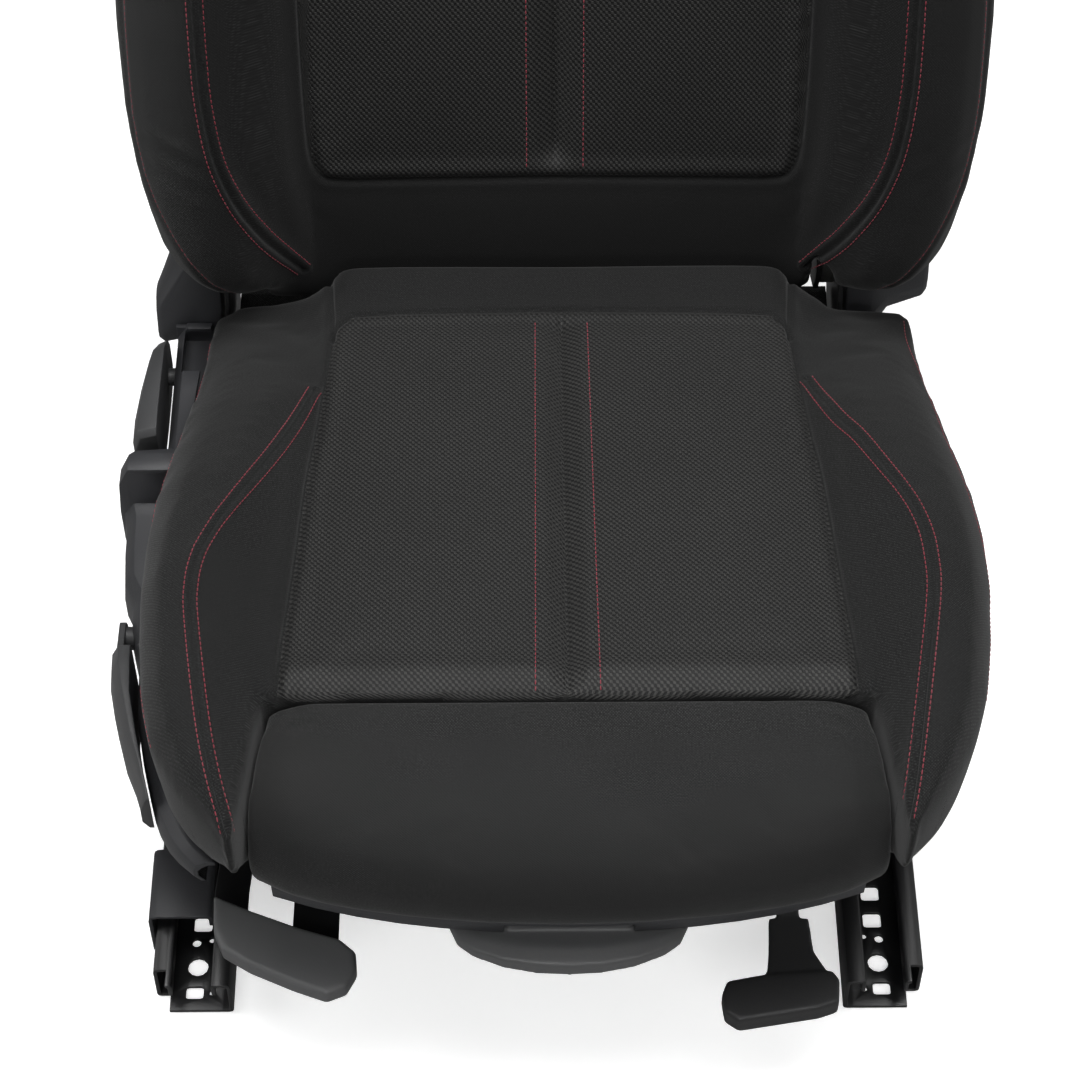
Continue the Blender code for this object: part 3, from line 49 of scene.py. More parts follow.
# ---------------------------------------------------------------- shape constants, metres
# The pieces are worked out in seat coordinates: x = 0 on the cushion's centre plane, y = 0 at the
# rails' middle. SHIFT takes them to the frame.
RECLINER_Y, RECLINER_Z = 0.262, 0.205
RECLINE_JOINT = next(j for j in frame["joints"] if j["name"] == "recline")
SHIFT = np.array(RECLINE_JOINT["pos_m"]) - (0.0, RECLINER_Y, RECLINER_Z)
RECLINE = math.radians(25)
RECLINE_COS, RECLINE_SIN = math.cos(RECLINE), math.sin(RECLINE)
BACK_X = -0.0035  # the backrest's centre plane
STITCH_PITCH = 0.0037
THREAD_R = 0.00038
EDGE_THREAD_R = 0.00027  # the single rows along the sides, half sunk in their seam
DOUBLE_GAP = 0.0080  # between the two rows of top stitching on the cushion
BACK_DOUBLE_GAP = 0.0102
CENTRE_HALF = 0.0176  # from the centre crease to each stitch row
LEFT_FULLNESS = 1.018  # the left bolster stands out a little further than the right one
SIM_FRAMES = 20
PRESSURE = 4.0  # of the foam under its cover
FAR = 1e3  # added to the distance to a line where the line doesn't run

# The lines are drawn for the right side, as (x, y) in plan on the cushion and (x, height) on the back.
INSERT_SIDE = [
    (0.1712, -0.1740), (0.1692, -0.1330), (0.1660, -0.0830), (0.1612, 0.0050), (0.1575, 0.0500),
    (0.1545, 0.1000), (0.1530, 0.1480),
]
INSERT_REAR = [(0.1505, 0.1590), (0.1430, 0.1660), (0.1300, 0.1695), (0.0, 0.1730)]
# The inner row of the double stitching. The two sides of the cushion aren't quite alike.
CUSHION_SEAMS = {
    -1: [
        (0.1575, 0.0900), (0.1700, 0.0400), (0.1860, -0.0110), (0.2090, -0.0700), (0.2165, -0.0960),
        (0.2185, -0.1200), (0.2165, -0.1440), (0.2070, -0.2070), (0.1990, -0.2450), (0.1880, -0.2800),
    ],
    1: [
        (0.1560, 0.1010), (0.1710, 0.0510), (0.1825, 0.0200), (0.1940, -0.0150), (0.2055, -0.0470),
        (0.2120, -0.0745), (0.2135, -0.1000), (0.2125, -0.1230), (0.2055, -0.1670), (0.1920, -0.2430),
        (0.1855, -0.2720),
    ],
}
EDGE_ROW = [
    (0.2350, 0.1880), (0.2345, 0.1620), (0.2390, 0.1120), (0.2435, 0.0400), (0.2515, -0.0350),
    (0.2555, -0.0900), (0.2530, -0.1300), (0.2490, -0.1600), (0.2445, -0.1850), (0.2400, -0.2060),
    (0.2335, -0.2260),
]
REAR_SEAM = [(0.1530, 0.1480), (0.1542, 0.1700), (0.1560, 0.1900), (0.1580, 0.2120)]
BACK_SEAM = [
    (0.1760, -0.0140), (0.1890, 0.0070), (0.1996, 0.0247), (0.2145, 0.0550), (0.2255, 0.0880),
    (0.2310, 0.1240), (0.2330, 0.1600), (0.2335, 0.2300), (0.2320, 0.3200), (0.2280, 0.3900),
    (0.2190, 0.4500), (0.2070, 0.5050), (0.1900, 0.5550), (0.1700, 0.6000), (0.1580, 0.6220),
]
BACK_EDGE = [
    (0.2180, -0.0180), (0.2400, 0.0100), (0.2587, 0.0410), (0.2713, 0.0750), (0.2768, 0.1130),
    (0.2780, 0.1550), (0.2770, 0.2200), (0.2740, 0.3000), (0.2650, 0.4000), (0.2480, 0.4800),
    (0.2270, 0.5400), (0.2000, 0.5900), (0.1770, 0.6180),
]
BACK_INSERT = [
    (0.0, 0.0543), (0.1000, 0.0535), (0.1480, 0.0540), (0.1580, 0.0590), (0.1620, 0.0700),
    (0.1640, 0.0940), (0.1655, 0.1600), (0.1655, 0.2400), (0.1630, 0.3400), (0.1560, 0.4300),
    (0.1520, 0.4700), (0.1440, 0.4860), (0.1300, 0.4930), (0.0, 0.4980),
]


# ---------------------------------------------------------------- numpy geometry
def run_length(path):
    """How far along the path each of its points lies."""
    return np.concatenate([[0], np.cumsum(np.linalg.norm(np.diff(path, axis=0), axis=1))])


def smooth_path(points, step=0.004):
    """Catmull-Rom through the points, resampled evenly."""
    p = np.array(points, float)
    ends = np.vstack([2 * p[0] - p[1], p, 2 * p[-1] - p[-2]])
    out = []
    for i in range(1, len(ends) - 2):
        a, b, c, d = ends[i - 1 : i + 3]
        for t in np.linspace(0, 1, 12, endpoint=False):
            out.append(0.5 * (
                2 * b + (c - a) * t + (2 * a - 5 * b + 4 * c - d) * t**2
                + (3 * b - a - 3 * c + d) * t**3
            ))
    out.append(ends[-2])
    out = np.array(out)
    length = run_length(out)
    count = max(2, int(round(length[-1] / step)) + 1)
    s = np.linspace(0, length[-1], count)
    return np.stack([np.interp(s, length, out[:, k]) for k in range(out.shape[1])], axis=1)


def offset_path(path, gap):
    """The path moved sideways, to its left for a positive gap."""
    tangent = np.gradient(path, axis=0)
    tangent /= np.linalg.norm(tangent, axis=1)[:, None]
    return path + gap * np.stack([-tangent[:, 1], tangent[:, 0]], axis=1)


def path_distance(points, path):
    """Distance of each 2-D point to an open polyline."""
    best = np.full(len(points), FAR)
    for p, q in zip(path[:-1], path[1:]):
        d = q - p
        t = np.clip(((points - p) @ d) / max(d @ d, 1e-12), 0, 1)
        best = np.minimum(best, np.linalg.norm(points - p - t[:, None] * d, axis=1))
    return best


def inside(points, polygon):
    """Whether each 2-D point lies inside a polygon."""
    x, y = points[:, 0], points[:, 1]
    result = np.zeros(len(points), bool)
    for (x0, y0), (x1, y1) in zip(polygon, np.roll(polygon, -1, axis=0)):
        crosses = (y0 > y) != (y1 > y)
        with np.errstate(divide="ignore", invalid="ignore"):
            at = (x1 - x0) * (y - y0) / (y1 - y0) + x0
        result ^= crosses & (x < at)
    return result


def bell(d, width):
    """1 at d = 0, falling off over the width."""
    return np.exp(-((d / width) ** 2))


def ramp(x, low, high):
    """A smooth step from 0 at low to 1 at high."""
    t = np.clip((x - low) / (high - low), 0, 1)
    return t * t * (3 - 2 * t)


def turned(vectors):
    """Vectors in the backrest's own axes: x, forward, up the backrest."""
    x, y, z = vectors.T
    return np.stack([x, -(y * RECLINE_COS - z * RECLINE_SIN), y * RECLINE_SIN + z * RECLINE_COS], axis=1)


def to_back(points):
    """Seat coordinates to the backrest's own: x from its centre plane, depth forward, height."""
    return turned(points - (BACK_X, RECLINER_Y, RECLINER_Z))


def from_back(points):
    """The backrest's own coordinates to seat coordinates."""
    x, depth, height = np.asarray(points, float).T
    y = RECLINER_Y - depth * RECLINE_COS + height * RECLINE_SIN
    return np.stack([x + BACK_X, y, RECLINER_Z + depth * RECLINE_SIN + height * RECLINE_COS], axis=1)


# ---------------------------------------------------------------- mesh helpers
def read_vectors(items, field):
    values = np.empty(len(items) * 3, np.float32)
    items.foreach_get(field, values)
    return values.reshape(-1, 3).astype(float)


def coordinates(mesh):
    """A mesh's points in seat coordinates."""
    return read_vectors(mesh.vertices, "co") - SHIFT


def normals(mesh):
    return read_vectors(mesh.vertex_normals, "vector")


def set_coordinates(mesh, co):
    mesh.vertices.foreach_set("co", (co + SHIFT).astype(np.float32).ravel())
    mesh.update()


def store(mesh, name, values):
    """Keeps a number or a vector at each point, for the materials."""
    kind = "FLOAT" if values.ndim == 1 else "FLOAT_VECTOR"
    attribute = mesh.attributes.get(name) or mesh.attributes.new(name, kind, "POINT")
    attribute.data.foreach_set("value" if values.ndim == 1 else "vector", values.astype(np.float32).ravel())


def link(name, mesh):
    obj = bpy.data.objects.new(name, mesh)
    SCENE.collection.objects.link(obj)
    return obj


def bake(obj):
    """Replaces an object's mesh by its evaluated one."""
    bpy.context.view_layer.update()
    graph = bpy.context.evaluated_depsgraph_get()
    mesh = bpy.data.meshes.new_from_object(obj.evaluated_get(graph))
    obj.modifiers.clear()
    obj.data = mesh
    return mesh


def tree_of(mesh):
    return BVHTree.FromPolygons(coordinates(mesh).tolist(), [list(p.vertices) for p in mesh.polygons])


def add_smoothing(obj, steps):
    smooth = obj.modifiers.new("smooth", "SMOOTH")
    smooth.factor, smooth.iterations = 0.5, steps


def remeshed(node, name, voxel, smooth_steps):
    """A smooth quad copy of a soft CAD solid."""
    mesh = NODES[node].data.copy()
    bm = bmesh.new()
    bm.from_mesh(mesh)
    bmesh.ops.remove_doubles(bm, verts=bm.verts, dist=1e-5)
    bm.to_mesh(mesh)
    bm.free()
    mesh.materials.clear()
    obj = link(name, mesh)
    remesh = obj.modifiers.new("remesh", "REMESH")
    remesh.mode, remesh.voxel_size = "VOXEL", voxel
    add_smoothing(obj, smooth_steps)
    bake(obj)
    # Smoothing eats the corners: points that it moved well off the solid go most of the way back.
    solid = tree_of(mesh)
    co = coordinates(obj.data)
    pull = np.array([solid.find_nearest(Vector(p))[0] for p in co]) - co
    reach = np.linalg.norm(pull, axis=1)
    set_coordinates(obj.data, co + pull * (0.85 * ramp(reach, 0.0007, 0.0022))[:, None])
    add_smoothing(obj, 1)
    bake(obj)
    obj.data.shade_smooth()
    return obj


def simulated(obj, pinned):
    """Where the points come to rest as cloth under pressure, held where pinned is 1."""
    group = obj.vertex_groups.new(name="pin")
    for level in np.unique(np.round(pinned, 1)):
        if level > 0:
            chosen = np.nonzero(np.round(pinned, 1) == level)[0]
            group.add(chosen.tolist(), float(level), "REPLACE")
    cloth = obj.modifiers.new("cloth", "CLOTH")
    settings = cloth.settings
    settings.quality = 4
    settings.mass = 0.3
    settings.tension_stiffness = settings.compression_stiffness = 12
    settings.shear_stiffness = 6
    settings.bending_stiffness = 1.5
    settings.use_pressure = True
    settings.uniform_pressure_force = PRESSURE
    settings.vertex_group_mass = "pin"
    settings.pin_stiffness = 1.0
    settings.effector_weights.gravity = 0
    cloth.collision_settings.use_collision = False
    cloth.point_cache.frame_start, cloth.point_cache.frame_end = 1, SIM_FRAMES
    for number in range(1, SIM_FRAMES + 1):
        SCENE.frame_set(number)
    graph = bpy.context.evaluated_depsgraph_get()
    after = coordinates(obj.evaluated_get(graph).data)
    obj.modifiers.clear()
    obj.vertex_groups.clear()
    SCENE.frame_set(1)
    return after


def inflate(obj, pinned, cap):
    """Puffs the cover up between its pinned lines, with no point moving further than cap."""
    mesh = obj.data
    before = coordinates(mesh)
    moved = simulated(obj, pinned) - before
    length = np.linalg.norm(moved, axis=1)
    moved *= (cap * np.tanh(length / cap) / np.maximum(length, 1e-9))[:, None]
    moved *= (1 - pinned)[:, None]
    set_coordinates(mesh, before + moved)


def refine(obj, near):
    """One subdivision everywhere, and one more where near(co) is true."""
    sub = obj.modifiers.new("subdivision", "SUBSURF")
    sub.levels = sub.render_levels = 1
    mesh = bake(obj)
    chosen = near(coordinates(mesh))
    bm = bmesh.new()
    bm.from_mesh(mesh)
    bm.verts.ensure_lookup_table()
    edges = [e for e in bm.edges if chosen[e.verts[0].index] and chosen[e.verts[1].index]]
    bmesh.ops.subdivide_edges(bm, edges=edges, cuts=1, use_grid_fill=True, smooth=0.0)
    bm.to_mesh(mesh)
    bm.free()
    mesh.shade_smooth()
    return mesh


def mesh_piece(name, points, faces, material=None, smooth=True):
    """A new object from arrays in seat coordinates."""
    mesh = bpy.data.meshes.new(name)
    mesh.from_pydata((np.asarray(points, float) + SHIFT).tolist(), [], [list(map(int, f)) for f in faces])
    mesh.update()
    if smooth:
        mesh.shade_smooth()
    obj = link(name, mesh)
    if material:
        mesh.materials.append(material)
    return obj


NUDGES = ((0, 0, 0), (3e-5, 2e-5, 1e-5), (-3e-5, 1e-5, -2e-5), (1e-5, -4e-5, 3e-5))


def drop(tree, points, direction):
    """Where rays from the points meet the surface: (positions, normals).

    A ray that slips between two faces is nudged.
    """
    places, outs = [], []
    for point in points:
        for nudge in NUDGES:
            place, out, _, _ = tree.ray_cast(Vector(point) + Vector(nudge), Vector(direction))
            if place is not None:
                places.append(place)
                outs.append(out)
                break
    return np.array(places), np.array(outs)


def resample(points, outs, step):
    """Evenly spaced places on a row, with their normals and the row's direction there."""
    length = run_length(points)
    count = max(2, int(length[-1] / step))
    s = (np.arange(count) + 0.5) * length[-1] / count

    def at_stops(table):
        return np.stack([np.interp(s, length, table[:, k]) for k in range(3)], axis=1)

    return at_stops(points), at_stops(outs), at_stops(np.gradient(points, axis=0))


def sew_on(obj, body):
    """Makes a piece of the cover ride on a body."""
    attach(obj, body)


# A stitch's rings, as (place along the stitch, width, lift), the last two in thread radii.
STITCH_RINGS = (
    (-0.5, 0.25, -0.55), (-0.36, 0.85, 0.15), (0.0, 1.0, 0.55), (0.36, 0.85, 0.15), (0.5, 0.25, -0.55),
)


def stitches(name, rows, body, radius=THREAD_R):
    """Rows of short arched threads, sunk at both ends. Each row is (points, normals) on a surface."""
    points, faces = [], []
    sides = 6
    length = 0.84 * STITCH_PITCH
    for surface, outs in rows:
        centres, up, along_row = resample(surface, outs, STITCH_PITCH)
        for centre, n, t in zip(centres, up, along_row):
            n = n / max(np.linalg.norm(n), 1e-9)
            t = t - n * (t @ n)
            t = t / max(np.linalg.norm(t), 1e-9)
            side = np.cross(n, t)
            first = len(points)
            for shift, width, lift in STITCH_RINGS:
                middle = centre + t * shift * length + n * lift * radius
                for k in range(sides):
                    a = 2 * math.pi * k / sides
                    points.append(middle + radius * width * (side * math.cos(a) + n * math.sin(a)))
            for ring in range(len(STITCH_RINGS) - 1):
                for k in range(sides):
                    a, b = first + ring * sides + k, first + ring * sides + (k + 1) % sides
                    faces.append((a, b, b + sides, a + sides))
            faces.append(tuple(first + k for k in reversed(range(sides))))
            last = first + (len(STITCH_RINGS) - 1) * sides
            faces.append(tuple(last + k for k in range(sides)))
    sew_on(mesh_piece(name, points, faces, material_of("thread")), body)


# ---------------------------------------------------------------- material tools
class Graph:
    """Short forms for building a node material."""

    def __init__(self, name):
        self.material = bpy.data.materials.new(name)
        self.material.use_nodes = True
        self.tree = self.material.node_tree
        self.shader = self.tree.nodes["Principled BSDF"]

    def add(self, kind, props=None, **inputs):
        """A node of the kind; an input is given by its name, or as i0, i1 and so on by its number."""
        node = self.tree.nodes.new("ShaderNode" + kind)
        for key, value in (props or {}).items():
            setattr(node, key, value)
        for key, value in inputs.items():
            numbered = key[0] == "i" and key[1:].isdigit()
            self.put(node.inputs[int(key[1:]) if numbered else key.replace("_", " ")], value)
        return node

    def put(self, socket, value):
        if isinstance(value, bpy.types.NodeSocket):
            self.tree.links.new(value, socket)
        else:
            socket.default_value = value

    def math(self, operation, *values, clamp=False):
        node = self.add("Math", {"operation": operation, "use_clamp": clamp})
        for socket, value in zip(node.inputs, values):
            self.put(socket, value)
        return node.outputs[0]

    def step(self, value, low, high):
        smooth = {"interpolation_type": "SMOOTHSTEP"}
        return self.add("MapRange", smooth, Value=value, From_Min=low, From_Max=high).outputs[0]

    def scaled(self, colour, factor):
        return self.add("VectorMath", {"operation": "SCALE"}, i0=colour, Scale=factor).outputs[0]

    def mix(self, factor, a, b):
        node = self.add("Mix", {"data_type": "RGBA"})
        self.put(node.inputs[0], factor)
        self.put(node.inputs[6], (*a, 1) if isinstance(a, tuple) else a)
        self.put(node.inputs[7], (*b, 1) if isinstance(b, tuple) else b)
        return node.outputs[2]

    def noise(self, vector, scale, detail=2.0, roughness=0.5):
        node = self.add("TexNoise", None, Vector=vector, Scale=scale, Detail=detail, Roughness=roughness)
        return node.outputs[0]

    def bump(self, height, distance, strength=1.0, normal=None):
        node = self.add("Bump", None, Height=height, Distance=distance, Strength=strength)
        if normal:
            self.put(node.inputs["Normal"], normal)
        return node.outputs[0]

    def object_place(self):
        return self.add("TexCoord").outputs["Object"]

    def attribute(self, name):
        return self.add("Attribute", {"attribute_name": name})

    def set(self, **inputs):
        for key, value in inputs.items():
            self.put(self.shader.inputs[key.replace("_", " ")], value)


def edge_mask(g, radius):
    """1 near a sharp edge, by the turn between the flat and the rounded normal."""
    rounded = g.add("Bevel", {"samples": 4}, Radius=radius).outputs[0]
    flat = g.add("NewGeometry").outputs["Normal"]
    dot = g.add("VectorMath", {"operation": "DOT_PRODUCT"}, i0=rounded, i1=flat).outputs["Value"]
    return g.step(dot, 0.995, 0.90), rounded


def wave_product(g, u, v, pitch_a, pitch_b, angle_deg):
    """Two crossed waves, each 0 to 1, along directions at plus and minus the angle."""
    c, s = math.cos(math.radians(angle_deg)), math.sin(math.radians(angle_deg))
    waves = []
    for sign, pitch in ((1, pitch_a), (-1, pitch_b)):
        across = g.math("ADD", g.math("MULTIPLY", u, c), g.math("MULTIPLY", v, sign * s))
        turn = g.math("MULTIPLY", across, 2 * math.pi / pitch)
        waves.append(g.math("MULTIPLY_ADD", g.math("COSINE", turn), 0.5, 0.5))
    return waves


TWILL_PITCHES, TWILL_ANGLE = (0.00133, 0.00120), 43
MESH_PITCHES, MESH_ANGLE = (0.00272, 0.00284), 42
COVER_COLOUR = (0.0080, 0.0082, 0.0081)
PLAIN_COLOUR = (0.0132, 0.0134, 0.0132)
MESH_COLOUR = (0.0262, 0.0259, 0.0245)
HOLE_COLOUR = (0.0022, 0.0022, 0.0024)
LINT_COLOUR = (0.10, 0.10, 0.095)
THREAD_COLOUR = (0.21, 0.009, 0.024)


def open_mesh(g, u, v, cloudy, fuzzy):
    """The coarse mesh of the middle panels: (colour, normal)."""
    p, q = wave_product(g, u, v, *MESH_PITCHES, MESH_ANGLE)
    hole = g.math("ADD", g.math("MULTIPLY", p, 0.57), g.math("MULTIPLY", q, 0.43))
    hole = g.step(hole, 0.30, 0.70)
    ridge = g.math("MULTIPLY", p, 0.30)
    fibres = g.math("MULTIPLY_ADD", fuzzy, 3.2, -0.6, clamp=True)
    thread = g.math("MULTIPLY", fibres, g.math("MULTIPLY_ADD", cloudy, 0.5, 0.75))
    thread = g.math("MULTIPLY", thread, g.math("SUBTRACT", 1.12, ridge))
    colour = g.mix(hole, g.scaled(MESH_COLOUR, thread), HOLE_COLOUR)
    depth = g.math("ADD", hole, g.math("MULTIPLY", ridge, 0.6))
    relief = g.math("SUBTRACT", g.math("MULTIPLY", fuzzy, 0.12), depth)
    return colour, g.bump(relief, 0.00032, 0.9)


def fabric(name, with_insert, plain):
    """Fine twill with a little lint; where the insert attribute is positive, the open mesh."""
    g = Graph(name)
    place = g.attribute("weave").outputs["Vector"]
    xyz = g.add("SeparateXYZ", None, Vector=place)
    u, v = xyz.outputs[0], xyz.outputs[1]
    cloudy = g.noise(place, 14.0, 3.0)
    fuzzy = g.noise(place, 900.0, 3.0, 0.6)
    twill = g.math("MULTIPLY", *wave_product(g, u, v, *TWILL_PITCHES, TWILL_ANGLE))
    shade = g.math("MULTIPLY_ADD", cloudy, 0.5, 0.72)
    shade = g.math("MULTIPLY", shade, g.math("MULTIPLY_ADD", twill, 2.20, 0.42))
    pile = g.math("MAXIMUM", g.math("MULTIPLY_ADD", fuzzy, 7.0, -2.5), 0.12)
    shade = g.math("MULTIPLY", shade, pile)
    lint = g.add("TexVoronoi", {"feature": "F1"}, Vector=place, Scale=75.0)
    pick = g.add("SeparateXYZ", None, Vector=lint.outputs["Color"]).outputs[0]
    pick = g.math("GREATER_THAN", pick, 0.93)
    speck = g.math("MULTIPLY", g.step(lint.outputs["Distance"], 0.035, 0.015), pick)
    colour = g.mix(g.math("MULTIPLY", speck, 0.55), g.scaled(plain, shade), LINT_COLOUR)
    height = g.math("ADD", g.math("MULTIPLY", twill, 0.5), g.math("MULTIPLY", fuzzy, 0.6))
    normal = g.bump(height, 0.00016, 0.7)
    roughness = 0.86
    if with_insert:
        inside_it = g.step(g.attribute("insert").outputs["Fac"], -0.0003, 0.0003)
        mesh_colour, mesh_normal = open_mesh(g, u, v, cloudy, fuzzy)
        # The tone attribute scales the colour with the painted light and shade laid on each cover.
        colour = g.scaled(g.mix(inside_it, colour, mesh_colour), g.attribute("tone").outputs["Fac"])
        both = g.add("Mix", {"data_type": "VECTOR"}, i0=inside_it, i4=normal, i5=mesh_normal)
        normal = both.outputs[1]
        roughness = g.math("MULTIPLY_ADD", inside_it, -0.26, roughness)
    g.set(Base_Color=colour, Roughness=roughness, Normal=normal, Sheen_Weight=0.10, Sheen_Roughness=0.45,
          Specular_IOR_Level=0.30)
    return g.material


def plastic(name, colour, roughness, grain=0.00012, scale=1400.0, edge=1.25):
    g = Graph(name)
    place = g.object_place()
    blotch = g.noise(place, 22.0, 3.0)
    pebble = g.add("TexVoronoi", {"feature": "SMOOTH_F1"}, Vector=place, Scale=scale * 0.6)
    fine = g.noise(place, scale, 2.0)
    mask, rounded = edge_mask(g, 0.0009)
    scuff = g.step(g.noise(place, 160.0, 6.0, 0.65), 0.60, 0.80)
    tone = g.math("MULTIPLY_ADD", blotch, 0.22, 0.89)
    tone = g.math("MULTIPLY", tone, g.math("MULTIPLY_ADD", mask, edge - 1.0, 1.0))
    tone = g.math("MULTIPLY", tone, g.math("MULTIPLY_ADD", scuff, 0.16, 1.0))
    base = g.scaled(colour, tone)
    rough = g.math("MULTIPLY_ADD", blotch, 0.14, roughness - 0.07)
    rough = g.math("SUBTRACT", rough, g.math("MULTIPLY", mask, 0.10))
    height = g.math("ADD", pebble.outputs["Distance"], g.math("MULTIPLY", fine, 0.6))
    g.set(Base_Color=base, Roughness=rough, Normal=g.bump(height, grain, 0.6, rounded),
          Specular_IOR_Level=0.45)
    return g.material


def painted_steel(name, colour, roughness):
    g = Graph(name)
    place = g.object_place()
    mask, rounded = edge_mask(g, 0.0007)
    orange = g.noise(place, 420.0, 2.0)
    cloud = g.noise(place, 18.0, 4.0, 0.6)
    chip = g.step(g.math("MULTIPLY", mask, g.noise(place, 260.0, 4.0, 0.7)), 0.50, 0.62)
    dust = g.math("MULTIPLY", g.step(cloud, 0.45, 0.75), 0.35)
    base = g.mix(dust, colour, tuple(2.6 * c + 0.004 for c in colour))
    base = g.mix(chip, base, (0.16, 0.15, 0.14))
    g.set(Base_Color=base, Metallic=g.math("MULTIPLY", chip, 0.8), Coat_Weight=0.15, Coat_Roughness=0.25,
          Roughness=g.math("MULTIPLY_ADD", cloud, 0.25, roughness - 0.10),
          Normal=g.bump(orange, 0.00008, 0.5, rounded))
    return g.material


def bare_metal(name, colour, roughness, spangle):
    g = Graph(name)
    place = g.object_place()
    rounded = edge_mask(g, 0.0005)[1]
    cells = g.add("TexVoronoi", {"feature": "F1"}, Vector=place, Scale=spangle).outputs["Color"]
    grey = g.add("SeparateXYZ", None, Vector=cells).outputs[0]
    cloud = g.noise(place, 60.0, 4.0, 0.6)
    fine = g.noise(place, 1500.0, 2.0)
    tone = g.math("ADD", g.math("MULTIPLY_ADD", grey, 0.16, 0.78), g.math("MULTIPLY", cloud, 0.22))
    base = g.scaled(colour, tone)
    g.set(Base_Color=base, Metallic=1.0, Roughness=g.math("MULTIPLY_ADD", cloud, 0.30, roughness - 0.15),
          Normal=g.bump(fine, 0.00004, 0.5, rounded))
    return g.material


def thread_material():
    g = Graph("thread")
    place = g.object_place()
    twist = g.noise(place, 2600.0, 2.0)
    cloud = g.noise(place, 60.0, 2.0)
    tone = g.math("MULTIPLY_ADD", twist, 0.9, 0.55)
    tone = g.math("MULTIPLY", tone, g.math("MULTIPLY_ADD", cloud, 0.4, 0.8))
    g.set(Base_Color=g.scaled(THREAD_COLOUR, tone), Roughness=0.55, Normal=g.bump(twist, 0.0001, 0.6),
          Sheen_Weight=0.2)
    return g.material


MAKERS = {
    "thread": thread_material,
    "cover_fabric": lambda: fabric("cover_fabric", True, COVER_COLOUR),
    "plain_fabric": lambda: fabric("plain_fabric", False, PLAIN_COLOUR),
    "trim": lambda: plastic("trim", (0.0290, 0.0295, 0.0325), 0.52),
    "lever": lambda: plastic("lever", (0.0440, 0.0445, 0.0460), 0.46, grain=0.00009),
    "handle": lambda: plastic("handle", (0.0960, 0.0970, 0.0985), 0.44, grain=0.00009),
    "grip": lambda: plastic("grip", (0.0190, 0.0190, 0.0195), 0.46, grain=0.00009),
    "shell": lambda: plastic("shell", (0.0200, 0.0200, 0.0210), 0.58, grain=0.00016, scale=1100.0),
    "black_steel": lambda: painted_steel("black_steel", (0.0065, 0.0065, 0.0070), 0.36),
    "zinc": lambda: bare_metal("zinc", (0.42, 0.42, 0.40), 0.42, 320.0),
    "wire": lambda: bare_metal("wire", (0.16, 0.16, 0.165), 0.42, 900.0),
    "chrome": lambda: bare_metal("chrome", (0.70, 0.70, 0.71), 0.20, 1500.0),
}
MADE = {}


def material_of(kind):
    """Each material is made once, when it is first needed."""
    if kind not in MADE:
        MADE[kind] = MAKERS[kind]()
    return MADE[kind]


# ---------------------------------------------------------------- cushion
CUSHION_LINES = {side: smooth_path(table) for side, table in CUSHION_SEAMS.items()}
CUSHION_MIDDLES = {side: offset_path(line, 0.5 * DOUBLE_GAP) for side, line in CUSHION_LINES.items()}
INSERT_HALF = smooth_path(INSERT_SIDE + INSERT_REAR)
INSERT_OUTLINE = np.vstack([INSERT_HALF, INSERT_HALF[::-1][1:] * (-1, 1)])
REAR_LINE = smooth_path(REAR_SEAM)


def half_plan(points):
    """Both sides folded onto the right one."""
    return np.stack([np.abs(points[:, 0]), points[:, 1]], axis=1)


def seam_distance(points):
    """Distance in plan of each point to the double seam of its own side."""
    plan = half_plan(points)
    left, right = (path_distance(plan, CUSHION_MIDDLES[side]) for side in (-1, 1))
    return np.where(points[:, 0] < 0, left, right)


def make_cover(obj, node, body, material):
    """The finished cover takes the place of its CAD solid."""
    obj.data.materials.append(material_of(material))
    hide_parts(node)
    sew_on(obj, body)


